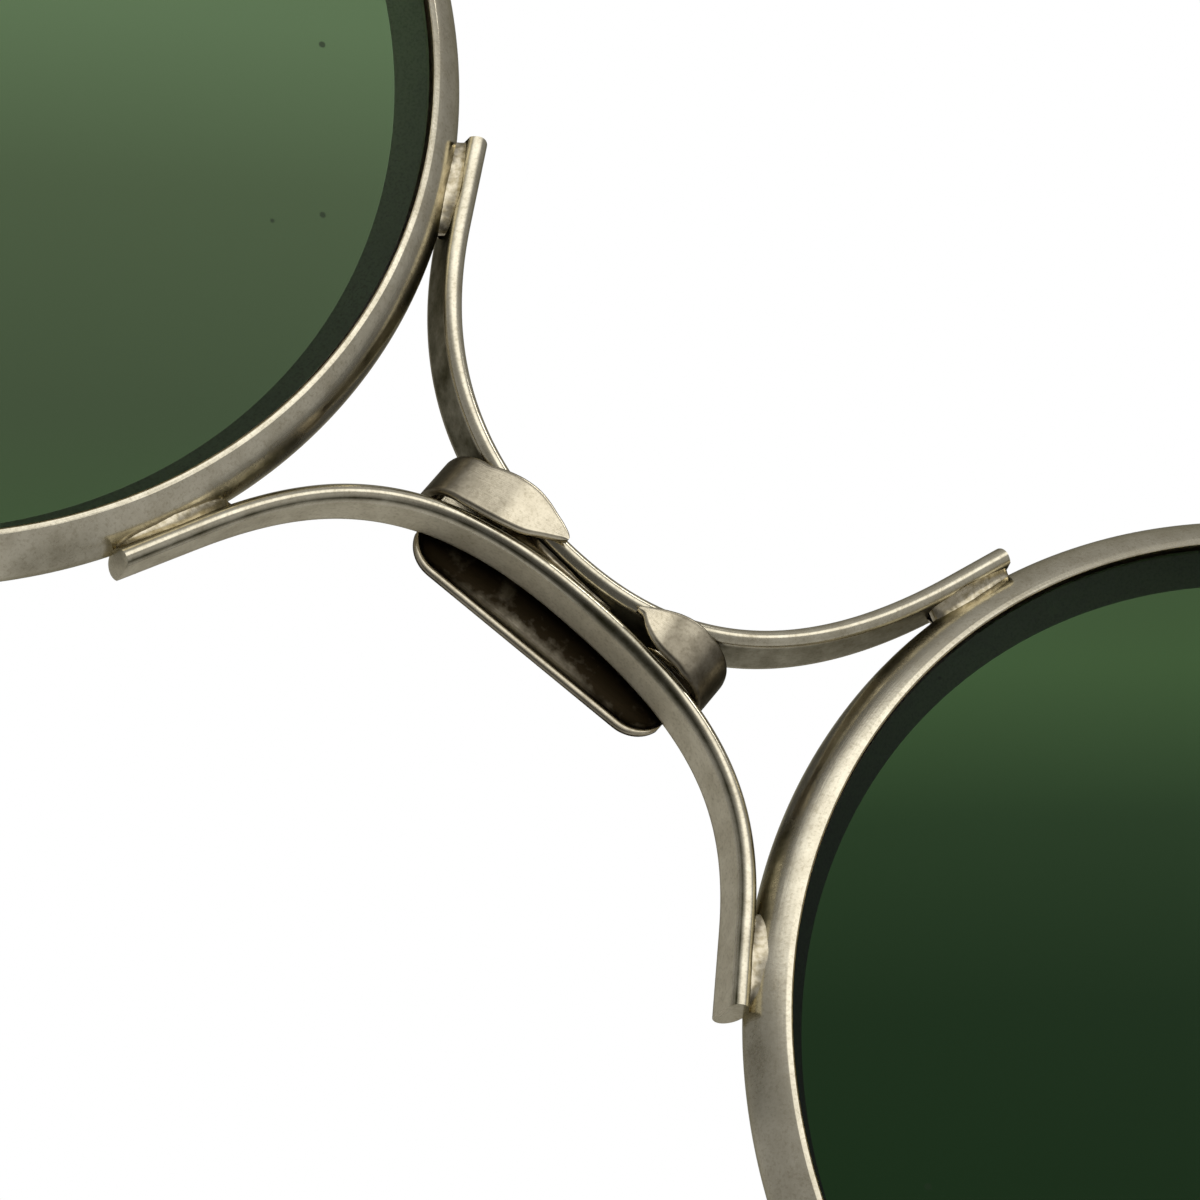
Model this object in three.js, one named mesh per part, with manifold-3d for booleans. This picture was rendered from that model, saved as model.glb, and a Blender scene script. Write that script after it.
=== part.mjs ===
// Round metal frame sunglasses with a two-wire bridge, a folded nose saddle and folding temples.
// The front faces -Y, +X is the wearer's left and +Z is up. Lengths are in millimetres, angles in degrees.

import * as THREE from 'three';
import { mergeVertices } from 'three/addons/utils/BufferGeometryUtils.js';
import Module from 'manifold-3d';

const wasm = await Module();
wasm.setup();

// Driving dimensions: rims and lenses
const LENS_SPACING = 68; // between the two lens centres
const RIM_INNER_RADIUS = 21.85; // inside of the lips
const RIM_LIP = 0.2; // flat land on the front and rear lips
const RIM_HEIGHT = 1.15; // of the half-round outside, above the lips
const RIM_DEPTH = 3; // front lip to rear lip
const RIM_SPLIT = 0.3; // gap where the rim is closed round the lens
const GROOVE_DEPTH = 0.6;
const GROOVE_WIDTH = 1.3;
const LENS_CLEARANCE = 0.12; // lens to rim, all round
const LENS_SETBACK = 0.35; // front lip to the lens's front edge
const LENS_EDGE = 2.4; // thickness at the edge
const LENS_BULGE = 1.2; // how far the front face swells
const LENS_CHAMFER = 0.8; // ground off the rear edge

// Driving dimensions: bridge
const WIRE_WIDTH = 2.1; // of the half-round wire, front to back
const WIRE_HEIGHT = 0.9; // flat side to crown
const WIRE_SETBACK = 0.4; // front lip to the wires' front edge
const CROWN_SEAT = 0.2; // filed off the lower wire's crown where it meets the rim
const SOLDER_GAP = 0.1; // filled with solder between two joined pieces
const BRIDGE_LEAN = 0.08; // fall of the bridge's middle towards the wearer's left, per mm
const BRIDGE_DROP = 1.7; // upper wire's flat side below the lens centres, in the middle
const UPPER_LEVEL = 6.7; // how far from the middle the upper wire aims straight on
const UPPER_PULL = 5; // how far ahead of the rim it aims along its soldered run
const UPPER_ANGLE = 22.3; // round the rim, from the level of the lens centres to where it touches
const UPPER_FREE = 1.3; // straight run before it touches the rim
const UPPER_TAIL_LEFT = 1; // straight run past that
const UPPER_TAIL_RIGHT = 2.2;
const LOWER_LEVEL = 6.6;
const LOWER_PULL = 5;
const LOWER_ANGLE = 27.9;
const LOWER_FREE = 2.1;
const LOWER_TAIL_LEFT = 1.3;
const LOWER_TAIL_RIGHT = 1.3;

// Driving dimensions: nose saddle
const SHEET = 0.4; // thickness
const SADDLE_GAP = 0.12; // sheet to wire
const STRAP_HALF_WIDTH = 6.55; // outside of the folded loop
const STRAP_HEIGHT = 1.8;
const STRAP_BEND = 0.65; // outside radius of the folds
const SADDLE_LEAN = 0.065; // fall of the saddle towards the wearer's left, per mm
const TAB_TIP_LEFT = 2.4; // from the middle of the bridge
const TAB_TIP_RIGHT = 1.25;
const TAB_TIP_RISE = 0.25; // of the tip above the strap's middle
const TAB_LEAF = 2.6; // length of the pointed end
const LIP_INSET = 0.1; // from the start of the strap's folds to the lip's ends
const LIP_START = 1.75; // strap's middle down to the roll
const LIP_ROLL_RADIUS = 2.2; // inside of the forward roll
const LIP_ROLL_ANGLE = 30;
const LIP_CORNER = 1.5;

// Driving dimensions: endpieces and closing screws
const ENDPIECE_OVERHANG = 0.2; // past the arm's outer face
const ENDPIECE_HEIGHT = 2.2;
const ENDPIECE_DEPTH = 2.4;
const CLOSING_BLOCK_WALL = 0.9; // past the screw's head
const CLOSING_BLOCK_HEIGHT = 2.2;
const CLOSING_SCREW_REACH = 2.3; // rim to the screw's axis
const CLOSING_SCREW_RADIUS = 0.6;
const CLOSING_SCREW_BITE = 1.5; // length in the endpiece
const SCREW_HEAD_RADIUS = 1;
const SCREW_HEAD_HEIGHT = 0.6;
const SCREW_SLOT_WIDTH = 0.3;
const SCREW_SLOT_DEPTH = 0.25;
const SCREW_CLEARANCE = 0.06;

// Driving dimensions: hinges and temples
const HINGE_REACH = 6; // rim to the hinge axis
const HINGE_HEIGHT = 3.6;
const HINGE_MIDDLE_KNUCKLE = 1.2;
const HINGE_GAP = 0.1; // between knuckles
const KNUCKLE_RADIUS = 1.1;
const HINGE_SCREW_RADIUS = 0.5;
const HINGE_LEAF = 0.6; // thickness of both leaves
const HINGE_WEB = 1.5; // width of the web between leaf and knuckle
const HINGE_CLEARANCE = 0.15; // knuckle to what turns past it
const TEMPLE_LEAF_LENGTH = 6;
const ARM_THICKNESS = 1.3;
const ARM_HEIGHT_FRONT = 3;
const ARM_HEIGHT_EAR = 1.8;
const ARM_STRAIGHT = 92; // front end to the ear bend
const ARM_BUTT_GAP = 0.15; // arm's front end to the endpiece
const EAR_BEND_RADIUS = 16;
const EAR_BEND_ANGLE = 38;
const TIP_WALL = 0.5; // round the arm at the sleeve's mouth
const TIP_FLARE = 1.4; // growth in height from the mouth to the end
const TIP_ROUNDING = 0.5;
const TIP_START = 4; // ear bend to the sleeve's mouth
const TIP_WALL_END = 6; // arm's end to where the sleeve's end rounds off
const TIP_CLEARANCE = 0.1;

// Facets
const RING_STEPS = 64;
const SMALL_RING_STEPS = 20;
const WIRE_STEPS = 44;
const ARC_STEPS = 8;
const FACE_STEPS = 4; // across a lens, from its centre to its edge

// Derived places
const RIM_OUTER_RADIUS = RIM_INNER_RADIUS + RIM_LIP + RIM_HEIGHT;
const LENS_X = LENS_SPACING / 2;
const RIM_SIDE_X = LENS_X + RIM_OUTER_RADIUS;
const RIM_MID_Y = RIM_DEPTH / 2;
const WIRE_MID_Y = WIRE_SETBACK + WIRE_WIDTH / 2;
const WIRE_BACK_Y = WIRE_SETBACK + WIRE_WIDTH;
const SADDLE_FRONT_Y = WIRE_BACK_Y + SADDLE_GAP;
const SADDLE_BACK_Y = SADDLE_FRONT_Y + SHEET;
const TAB_FRONT_Y = WIRE_SETBACK - SADDLE_GAP - SHEET;
const UPPER_MIDDLE_Z = -BRIDGE_DROP;
const LOWER_MIDDLE_Z = UPPER_MIDDLE_Z - SOLDER_GAP - WIRE_HEIGHT;
const UPPER_SEAT_RADIUS = RIM_OUTER_RADIUS + SOLDER_GAP;
const LOWER_SEAT_RADIUS = UPPER_SEAT_RADIUS + WIRE_HEIGHT - CROWN_SEAT;
const SADDLE_Z = UPPER_MIDDLE_Z - SOLDER_GAP / 2;
const LIP_HALF_WIDTH = STRAP_HALF_WIDTH - STRAP_BEND - LIP_INSET;
const ENDPIECE_FRONT_Y = RIM_MID_Y - ENDPIECE_DEPTH / 2;
const ENDPIECE_BACK_Y = RIM_MID_Y + ENDPIECE_DEPTH / 2;
const ENDPIECE_BOTTOM_Z = RIM_SPLIT / 2;
const CLOSING_SCREW_X = RIM_SIDE_X + CLOSING_SCREW_REACH;
const CLOSING_BLOCK_END_X = CLOSING_SCREW_X + SCREW_HEAD_RADIUS + CLOSING_BLOCK_WALL;
const CLOSING_BLOCK_TOP_Z = -RIM_SPLIT / 2;
const CLOSING_BLOCK_BOTTOM_Z = CLOSING_BLOCK_TOP_Z - CLOSING_BLOCK_HEIGHT;
const HINGE_X = RIM_SIDE_X + HINGE_REACH;
const HINGE_LEAF_FRONT_Y = ENDPIECE_BACK_Y + SOLDER_GAP;
const HINGE_LEAF_BACK_Y = HINGE_LEAF_FRONT_Y + HINGE_LEAF;
const HINGE_Y = HINGE_LEAF_BACK_Y + HINGE_CLEARANCE + KNUCKLE_RADIUS;
const HINGE_Z = ENDPIECE_BOTTOM_Z + ENDPIECE_HEIGHT / 2;
const ARM_INNER_X = HINGE_X + KNUCKLE_RADIUS + HINGE_CLEARANCE;
const ARM_MID_X = ARM_INNER_X + ARM_THICKNESS / 2;
const ENDPIECE_END_X = ARM_INNER_X + ARM_THICKNESS + ENDPIECE_OVERHANG;
const ARM_FRONT_Y = ENDPIECE_BACK_Y + ARM_BUTT_GAP;
const EAR_BEND_Y = ARM_FRONT_Y + ARM_STRAIGHT;
const FLOOR_Z = -RIM_OUTER_RADIUS;
const TIP_THICKNESS = ARM_THICKNESS + (TIP_CLEARANCE + TIP_WALL) * 2;
const TIP_HEIGHT_MOUTH = ARM_HEIGHT_EAR + (TIP_CLEARANCE + TIP_WALL) * 2;
const TIP_HEIGHT_END = TIP_HEIGHT_MOUTH + TIP_FLARE;
const TIP_END_Z = FLOOR_Z + TIP_HEIGHT_END / 2;
const EAR_TURN = THREE.MathUtils.degToRad(EAR_BEND_ANGLE);
const EAR_BEND_LENGTH = EAR_BEND_RADIUS * EAR_TURN;
const EAR_BEND_DROP = EAR_BEND_RADIUS * (1 - Math.cos(EAR_TURN));
const EAR_DROP_LENGTH = (HINGE_Z - TIP_END_Z - EAR_BEND_DROP) / Math.sin(EAR_TURN);
const ARM_END = EAR_BEND_LENGTH + EAR_DROP_LENGTH - TIP_WALL_END; // distance past the bend's start

// Finishes
const NICKEL_SILVER = { color: 0x8f8773, roughness: 0.38, metalness: 1 };
const SCREW_STEEL = { color: 0x9a958c, roughness: 0.3, metalness: 1 };
const GREEN_GLASS = { color: 0x425139, roughness: 0.05, metalness: 0, transparent: true, opacity: 0.6 };
const BROWN_PLASTIC = { color: 0x3a2418, roughness: 0.3, metalness: 0 };

const radians = THREE.MathUtils.degToRad;
const point = (x, y) => new THREE.Vector2(x, y);

// Turns a closed three.js geometry into a solid that can be joined and cut.
function solid(geometry) {
  const bare = geometry.index ? geometry.toNonIndexed() : geometry.clone();
  bare.deleteAttribute('normal');
  bare.deleteAttribute('uv');
  const merged = mergeVertices(bare, 1e-4);
  return new wasm.Manifold(new wasm.Mesh({
    numProp: 3,
    vertProperties: new Float32Array(merged.attributes.position.array),
    triVerts: new Uint32Array(merged.index.array),
  }));
}

// Turns a solid back into a geometry.
function geometryOf(body) {
  const mesh = body.getMesh();
  const geometry = new THREE.BufferGeometry();
  geometry.setAttribute('position', new THREE.BufferAttribute(new Float32Array(mesh.vertProperties), 3));
  geometry.setIndex(new THREE.BufferAttribute(new Uint32Array(mesh.triVerts), 1));
  return geometry;
}

function union(bodies) {
  return bodies.reduce((whole, body) => whole.add(body));
}

// A solid turned about the lens axis, which runs along Y. The profile holds (radius, y) points.
function turned(profile) {
  return solid(new THREE.LatheGeometry(profile, RING_STEPS));
}

// An outline in (x, z) given depth along +Y from y.
function slabAlongY(outline, y, depth) {
  const geometry = new THREE.ExtrudeGeometry(new THREE.Shape(outline), { depth, bevelEnabled: false });
  geometry.rotateX(Math.PI / 2);
  geometry.translate(0, y + depth, 0);
  return solid(geometry);
}

// An outline in (y, z) given depth along +X from x.
function slabAlongX(outline, x, depth, options = { bevelEnabled: false }) {
  const geometry = new THREE.ExtrudeGeometry(new THREE.Shape(outline), { depth, ...options });
  const basis = new THREE.Matrix4().makeBasis(
    new THREE.Vector3(0, 1, 0),
    new THREE.Vector3(0, 0, 1),
    new THREE.Vector3(1, 0, 0),
  );
  geometry.applyMatrix4(basis);
  geometry.translate(x, 0, 0);
  return solid(geometry);
}

function box(x0, x1, y0, y1, z0, z1) {
  const geometry = new THREE.BoxGeometry(x1 - x0, y1 - y0, z1 - z0);
  geometry.translate((x0 + x1) / 2, (y0 + y1) / 2, (z0 + z1) / 2);
  return solid(geometry);
}

// An upright round bar.
function upright(x, y, z0, z1, radius) {
  const geometry = new THREE.CylinderGeometry(radius, radius, z1 - z0, SMALL_RING_STEPS);
  geometry.rotateX(Math.PI / 2);
  geometry.translate(x, y, (z0 + z1) / 2);
  return solid(geometry);
}

// Half-round outside of the rim, grown by a gap, as (radius, y) points from front to rear.
function rimOutside(gap) {
  const points = [];
  for (let step = 0; step <= ARC_STEPS; step += 1) {
    const turn = (Math.PI * step) / ARC_STEPS;
    const radius = RIM_INNER_RADIUS + RIM_LIP + (RIM_HEIGHT + gap) * Math.sin(turn);
    points.push(point(radius, RIM_MID_Y - (RIM_DEPTH / 2 + gap) * Math.cos(turn)));
  }
  return points;
}

// Everything inside the rim's outside, used to fit neighbours to it. side is 1 for left, -1 for right.
function rimEnvelope(side) {
  const outside = rimOutside(SOLDER_GAP);
  const profile = [point(0, outside[0].y), ...outside, point(0, outside[ARC_STEPS].y)];
  return turned(profile).translate([side * LENS_X, 0, 0]);
}

function makeRim() {
  const inner = RIM_INNER_RADIUS;
  const profile = [
    point(inner, 0),
    ...rimOutside(0),
    point(inner, RIM_DEPTH),
    point(inner, RIM_MID_Y + GROOVE_WIDTH / 2),
    point(inner + GROOVE_DEPTH, RIM_MID_Y),
    point(inner, RIM_MID_Y - GROOVE_WIDTH / 2),
    point(inner, 0),
  ];
  const split = box(0, RIM_OUTER_RADIUS * 2, -RIM_DEPTH, RIM_DEPTH * 2, -RIM_SPLIT / 2, RIM_SPLIT / 2);
  return turned(profile).subtract(split).translate([LENS_X, 0, 0]);
}

// Points of a lens face from its centre to its edge, swelling towards the front.
function lensFace(edgeRadius, edgeY) {
  const sphere = (edgeRadius ** 2 + LENS_BULGE ** 2) / (2 * LENS_BULGE);
  const halfAngle = Math.asin(edgeRadius / sphere);
  const points = [];
  for (let step = 0; step <= FACE_STEPS; step += 1) {
    const turn = (halfAngle * step) / FACE_STEPS;
    points.push(point(sphere * Math.sin(turn), edgeY - LENS_BULGE + sphere * (1 - Math.cos(turn))));
  }
  points[0].x = 0;
  return points;
}

function makeLens() {
  const edge = RIM_INNER_RADIUS - LENS_CLEARANCE;
  const apex = RIM_INNER_RADIUS + GROOVE_DEPTH - LENS_CLEARANCE * 2;
  const bevelHalf = GROOVE_WIDTH / 2 - LENS_CLEARANCE;
  const rearY = LENS_SETBACK + LENS_EDGE;
  const profile = [
    ...lensFace(edge, LENS_SETBACK),
    point(edge, RIM_MID_Y - bevelHalf),
    point(apex, RIM_MID_Y),
    point(edge, RIM_MID_Y + bevelHalf),
    ...lensFace(edge - LENS_CHAMFER, rearY).reverse(),
  ];
  return turned(profile).translate([LENS_X, 0, 0]);
}

// Half of a wire's run in (x, z), from the middle of the bridge to its end on the rim.
// The soldered run is straight and touches the wire's seat, a circle about the lens centre.
function wireHalf(wire, side, tail) {
  const angle = radians(wire.angle);
  const along = point(side * Math.sin(angle), wire.up * Math.cos(angle));
  const touch = point(
    side * (LENS_X - wire.seat * Math.cos(angle)),
    wire.up * wire.seat * Math.sin(angle),
  );
  const leave = touch.clone().addScaledVector(along, -wire.free);
  return {
    handle: point(side * wire.level, wire.middle - side * BRIDGE_LEAN * wire.level),
    pull: leave.clone().addScaledVector(along, -wire.pull),
    leave,
    end: touch.clone().addScaledVector(along, tail),
  };
}

function wirePath(wire) {
  const at = (place) => new THREE.Vector3(place.x, WIRE_MID_Y, place.y);
  const right = wireHalf(wire, -1, wire.tailRight);
  const left = wireHalf(wire, 1, wire.tailLeft);
  const middle = at(point(0, wire.middle));
  const path = new THREE.CurvePath();
  path.add(new THREE.LineCurve3(at(right.end), at(right.leave)));
  path.add(new THREE.CubicBezierCurve3(at(right.leave), at(right.pull), at(right.handle), middle));
  path.add(new THREE.CubicBezierCurve3(middle, at(left.handle), at(left.pull), at(left.leave)));
  path.add(new THREE.LineCurve3(at(left.leave), at(left.end)));
  return path;
}

// Half-round section with its flat side on the path and its crown upwards.
function wireSection() {
  const points = [];
  for (let step = 0; step <= ARC_STEPS; step += 1) {
    const turn = (Math.PI * step) / ARC_STEPS;
    points.push(point((WIRE_WIDTH / 2) * Math.cos(turn), -WIRE_HEIGHT * Math.sin(turn)));
  }
  return new THREE.Shape(points);
}

function makeWire(wire) {
  const geometry = new THREE.ExtrudeGeometry(wireSection(), {
    steps: WIRE_STEPS,
    extrudePath: wirePath(wire),
    bevelEnabled: false,
  });
  return solid(geometry).subtract(rimEnvelope(1)).subtract(rimEnvelope(-1));
}

// The upper wire dips in the middle, and its flat side lies on the rims.
function makeUpperWire() {
  return makeWire({
    up: 1,
    middle: UPPER_MIDDLE_Z,
    seat: UPPER_SEAT_RADIUS,
    level: UPPER_LEVEL,
    pull: UPPER_PULL,
    angle: UPPER_ANGLE,
    free: UPPER_FREE,
    tailLeft: UPPER_TAIL_LEFT,
    tailRight: UPPER_TAIL_RIGHT,
  });
}

// The lower wire arches in the middle, and its crown lies on the rims.
function makeLowerWire() {
  return makeWire({
    up: -1,
    middle: LOWER_MIDDLE_Z,
    seat: LOWER_SEAT_RADIUS,
    level: LOWER_LEVEL,
    pull: LOWER_PULL,
    angle: LOWER_ANGLE,
    free: LOWER_FREE,
    tailLeft: LOWER_TAIL_LEFT,
    tailRight: LOWER_TAIL_RIGHT,
  });
}

// Rounded rectangle in (x, y).
function roundedRectangle(path, x0, x1, y0, y1, radius) {
  path.moveTo(x0 + radius, y0);
  path.lineTo(x1 - radius, y0);
  path.absarc(x1 - radius, y0 + radius, radius, -Math.PI / 2, 0, false);
  path.lineTo(x1, y1 - radius);
  path.absarc(x1 - radius, y1 - radius, radius, 0, Math.PI / 2, false);
  path.lineTo(x0 + radius, y1);
  path.absarc(x0 + radius, y1 - radius, radius, Math.PI / 2, Math.PI, false);
  path.lineTo(x0, y0 + radius);
  path.absarc(x0 + radius, y0 + radius, radius, Math.PI, Math.PI * 1.5, false);
  return path;
}

// The strap that goes round both wires, still closed in front.
function saddleStrap() {
  const half = STRAP_HALF_WIDTH;
  const shape = roundedRectangle(new THREE.Shape(), -half, half, TAB_FRONT_Y, SADDLE_BACK_Y, STRAP_BEND);
  shape.holes.push(roundedRectangle(
    new THREE.Path(),
    SHEET - half,
    half - SHEET,
    TAB_FRONT_Y + SHEET,
    SADDLE_FRONT_Y,
    STRAP_BEND - SHEET,
  ));
  const geometry = new THREE.ExtrudeGeometry(shape, {
    depth: STRAP_HEIGHT,
    bevelEnabled: false,
    curveSegments: ARC_STEPS / 2,
  });
  geometry.translate(0, 0, -STRAP_HEIGHT / 2);
  return solid(geometry);
}

// Leaf outline of one folded tab in (x, z), from its fold to its point.
function tabOutline(side, tip) {
  const half = STRAP_HEIGHT / 2;
  const shape = new THREE.Shape();
  shape.moveTo(side * STRAP_HALF_WIDTH * 2, -half - SHEET);
  shape.lineTo(side * STRAP_HALF_WIDTH * 2, half + SHEET);
  shape.lineTo(side * (tip + TAB_LEAF), half);
  shape.quadraticCurveTo(side * (tip + TAB_LEAF / 3), half, side * tip, TAB_TIP_RISE);
  shape.quadraticCurveTo(side * (tip + TAB_LEAF / 3), -half, side * (tip + TAB_LEAF), -half);
  return shape.getPoints(ARC_STEPS / 2);
}

// Side view of the saddle's back plate in (y, z), from the strap's middle to its lip rolled forward.
function lipSection() {
  const roll = radians(LIP_ROLL_ANGLE);
  const centreY = SADDLE_FRONT_Y - LIP_ROLL_RADIUS;
  const front = [];
  const back = [];
  for (let step = 0; step <= ARC_STEPS / 2; step += 1) {
    const turn = (roll * step) / (ARC_STEPS / 2);
    const outer = LIP_ROLL_RADIUS + SHEET;
    const inner = LIP_ROLL_RADIUS;
    front.push(point(centreY + inner * Math.cos(turn), -LIP_START - inner * Math.sin(turn)));
    back.push(point(centreY + outer * Math.cos(turn), -LIP_START - outer * Math.sin(turn)));
  }
  return [point(SADDLE_FRONT_Y, 0), ...front, ...back.reverse(), point(SADDLE_BACK_Y, 0)];
}

// Front view of the back plate in (x, z), with rounded lower corners.
function lipOutline() {
  const bottom = -LIP_START - (LIP_ROLL_RADIUS + SHEET) * Math.sin(radians(LIP_ROLL_ANGLE));
  const shape = new THREE.Shape();
  shape.moveTo(-LIP_HALF_WIDTH, STRAP_HEIGHT / 2);
  shape.lineTo(-LIP_HALF_WIDTH, bottom + LIP_CORNER);
  shape.absarc(LIP_CORNER - LIP_HALF_WIDTH, bottom + LIP_CORNER, LIP_CORNER, Math.PI, Math.PI * 1.5, false);
  shape.absarc(LIP_HALF_WIDTH - LIP_CORNER, bottom + LIP_CORNER, LIP_CORNER, -Math.PI / 2, 0, false);
  shape.lineTo(LIP_HALF_WIDTH, STRAP_HEIGHT / 2);
  return shape.getPoints(ARC_STEPS / 2);
}

function makeSaddle() {
  const tabFront = TAB_FRONT_Y - SHEET;
  const tabDepth = SHEET * 2 + SADDLE_GAP / 2;
  const wide = STRAP_HALF_WIDTH - STRAP_BEND;
  const front = box(-wide, wide, tabFront, tabFront + tabDepth, -STRAP_HEIGHT, STRAP_HEIGHT);
  const leaves = union([
    slabAlongY(tabOutline(1, TAB_TIP_LEFT), tabFront, tabDepth),
    slabAlongY(tabOutline(-1, TAB_TIP_RIGHT), tabFront, tabDepth),
  ]);
  const strap = saddleStrap().subtract(front.subtract(leaves));
  const plate = slabAlongX(lipSection(), -LIP_HALF_WIDTH, LIP_HALF_WIDTH * 2);
  const cut = slabAlongY(lipOutline(), 0, SADDLE_BACK_Y * 2);
  return strap.add(plate.intersect(cut));
}

// Place and downward slope of the temple's line at a distance past the start of the ear bend.
function templeAt(distance) {
  if (distance <= 0) {
    return { y: EAR_BEND_Y + distance, z: HINGE_Z, turn: 0 };
  }
  const turn = Math.min(distance / EAR_BEND_RADIUS, EAR_TURN);
  const past = Math.max(distance - EAR_BEND_LENGTH, 0);
  return {
    y: EAR_BEND_Y + EAR_BEND_RADIUS * Math.sin(turn) + past * Math.cos(turn),
    z: HINGE_Z - EAR_BEND_RADIUS * (1 - Math.cos(turn)) - past * Math.sin(turn),
    turn,
  };
}

// Outline round the temple's line between stations, each a distance and a height.
function templeOutline(stations) {
  const upper = [];
  const lower = [];
  stations.forEach(({ distance, height }) => {
    const { y, z, turn } = templeAt(distance);
    upper.push(point(y + (height / 2) * Math.sin(turn), z + (height / 2) * Math.cos(turn)));
    lower.push(point(y - (height / 2) * Math.sin(turn), z - (height / 2) * Math.cos(turn)));
  });
  return [...lower, ...upper.reverse()];
}

function armStations() {
  const stations = [{ distance: -ARM_STRAIGHT, height: ARM_HEIGHT_FRONT }];
  for (let step = 0; step <= ARC_STEPS; step += 1) {
    stations.push({ distance: (EAR_BEND_LENGTH * step) / ARC_STEPS, height: ARM_HEIGHT_EAR });
  }
  stations.push({ distance: ARM_END, height: ARM_HEIGHT_EAR });
  return stations;
}

function makeArm() {
  return slabAlongX(templeOutline(armStations()), ARM_INNER_X, ARM_THICKNESS);
}

// Sleeve outline: straight sides that widen to a round end.
function tipOutline() {
  const start = EAR_BEND_LENGTH + TIP_START;
  const end = EAR_BEND_LENGTH + EAR_DROP_LENGTH;
  const sides = templeOutline([
    { distance: start, height: TIP_HEIGHT_MOUTH },
    { distance: end, height: TIP_HEIGHT_END },
  ]);
  const centre = templeAt(end);
  const round = [];
  for (let step = 1; step < ARC_STEPS; step += 1) {
    const turn = -Math.PI / 2 - centre.turn + (Math.PI * step) / ARC_STEPS;
    round.push(point(
      centre.y + (TIP_HEIGHT_END / 2) * Math.cos(turn),
      centre.z + (TIP_HEIGHT_END / 2) * Math.sin(turn),
    ));
  }
  return [sides[0], sides[1], ...round, sides[2], sides[3]];
}

function makeTip() {
  const flat = TIP_THICKNESS - TIP_ROUNDING * 2;
  const sleeve = slabAlongX(tipOutline(), ARM_MID_X - flat / 2, flat, {
    bevelEnabled: true,
    bevelThickness: TIP_ROUNDING,
    bevelSize: TIP_ROUNDING,
    bevelOffset: -TIP_ROUNDING,
    bevelSegments: 2,
  });
  const bore = slabAlongX(
    templeOutline([
      { distance: EAR_BEND_LENGTH, height: ARM_HEIGHT_EAR + TIP_CLEARANCE * 2 },
      { distance: ARM_END + TIP_CLEARANCE, height: ARM_HEIGHT_EAR + TIP_CLEARANCE * 2 },
    ]),
    ARM_INNER_X - TIP_CLEARANCE,
    ARM_THICKNESS + TIP_CLEARANCE * 2,
  );
  return sleeve.subtract(bore);
}

// Upper half of the closing joint, running out to the hinge.
function makeEndpiece() {
  const top = ENDPIECE_BOTTOM_Z + ENDPIECE_HEIGHT;
  const block = box(
    RIM_SIDE_X - RIM_HEIGHT,
    ENDPIECE_END_X,
    ENDPIECE_FRONT_Y,
    ENDPIECE_BACK_Y,
    ENDPIECE_BOTTOM_Z,
    top,
  );
  const bore = upright(
    CLOSING_SCREW_X,
    RIM_MID_Y,
    ENDPIECE_BOTTOM_Z - RIM_SPLIT,
    ENDPIECE_BOTTOM_Z + CLOSING_SCREW_BITE + SCREW_CLEARANCE,
    CLOSING_SCREW_RADIUS + SCREW_CLEARANCE,
  );
  return block.subtract(rimEnvelope(1)).subtract(bore);
}

function makeClosingBlock() {
  const block = box(
    RIM_SIDE_X - RIM_HEIGHT,
    CLOSING_BLOCK_END_X,
    ENDPIECE_FRONT_Y,
    ENDPIECE_BACK_Y,
    CLOSING_BLOCK_BOTTOM_Z,
    CLOSING_BLOCK_TOP_Z,
  );
  const bore = upright(
    CLOSING_SCREW_X,
    RIM_MID_Y,
    CLOSING_BLOCK_BOTTOM_Z - RIM_SPLIT,
    CLOSING_BLOCK_TOP_Z + RIM_SPLIT,
    CLOSING_SCREW_RADIUS + SCREW_CLEARANCE,
  );
  return block.subtract(rimEnvelope(1)).subtract(bore);
}

// A slotted screw on an upright axis. up is 1 for a head on top and -1 for a head below.
function makeScrew(x, y, seatZ, endZ, radius, up) {
  const shank = upright(x, y, Math.min(seatZ, endZ), Math.max(seatZ, endZ), radius);
  const crownZ = seatZ + up * SCREW_HEAD_HEIGHT;
  const slotZ = crownZ - up * SCREW_SLOT_DEPTH;
  const beyondZ = crownZ + up * SCREW_SLOT_DEPTH;
  const head = upright(x, y, Math.min(seatZ, crownZ), Math.max(seatZ, crownZ), SCREW_HEAD_RADIUS);
  const slot = box(
    x - SCREW_HEAD_RADIUS * 2,
    x + SCREW_HEAD_RADIUS * 2,
    y - SCREW_SLOT_WIDTH / 2,
    y + SCREW_SLOT_WIDTH / 2,
    Math.min(slotZ, beyondZ),
    Math.max(slotZ, beyondZ),
  );
  return shank.add(head).subtract(slot);
}

function makeClosingScrew() {
  return makeScrew(
    CLOSING_SCREW_X,
    RIM_MID_Y,
    CLOSING_BLOCK_BOTTOM_Z,
    ENDPIECE_BOTTOM_Z + CLOSING_SCREW_BITE,
    CLOSING_SCREW_RADIUS,
    -1,
  );
}

function hingeBore() {
  return upright(
    HINGE_X,
    HINGE_Y,
    HINGE_Z - HINGE_HEIGHT,
    HINGE_Z + HINGE_HEIGHT,
    HINGE_SCREW_RADIUS + SCREW_CLEARANCE,
  );
}

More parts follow.
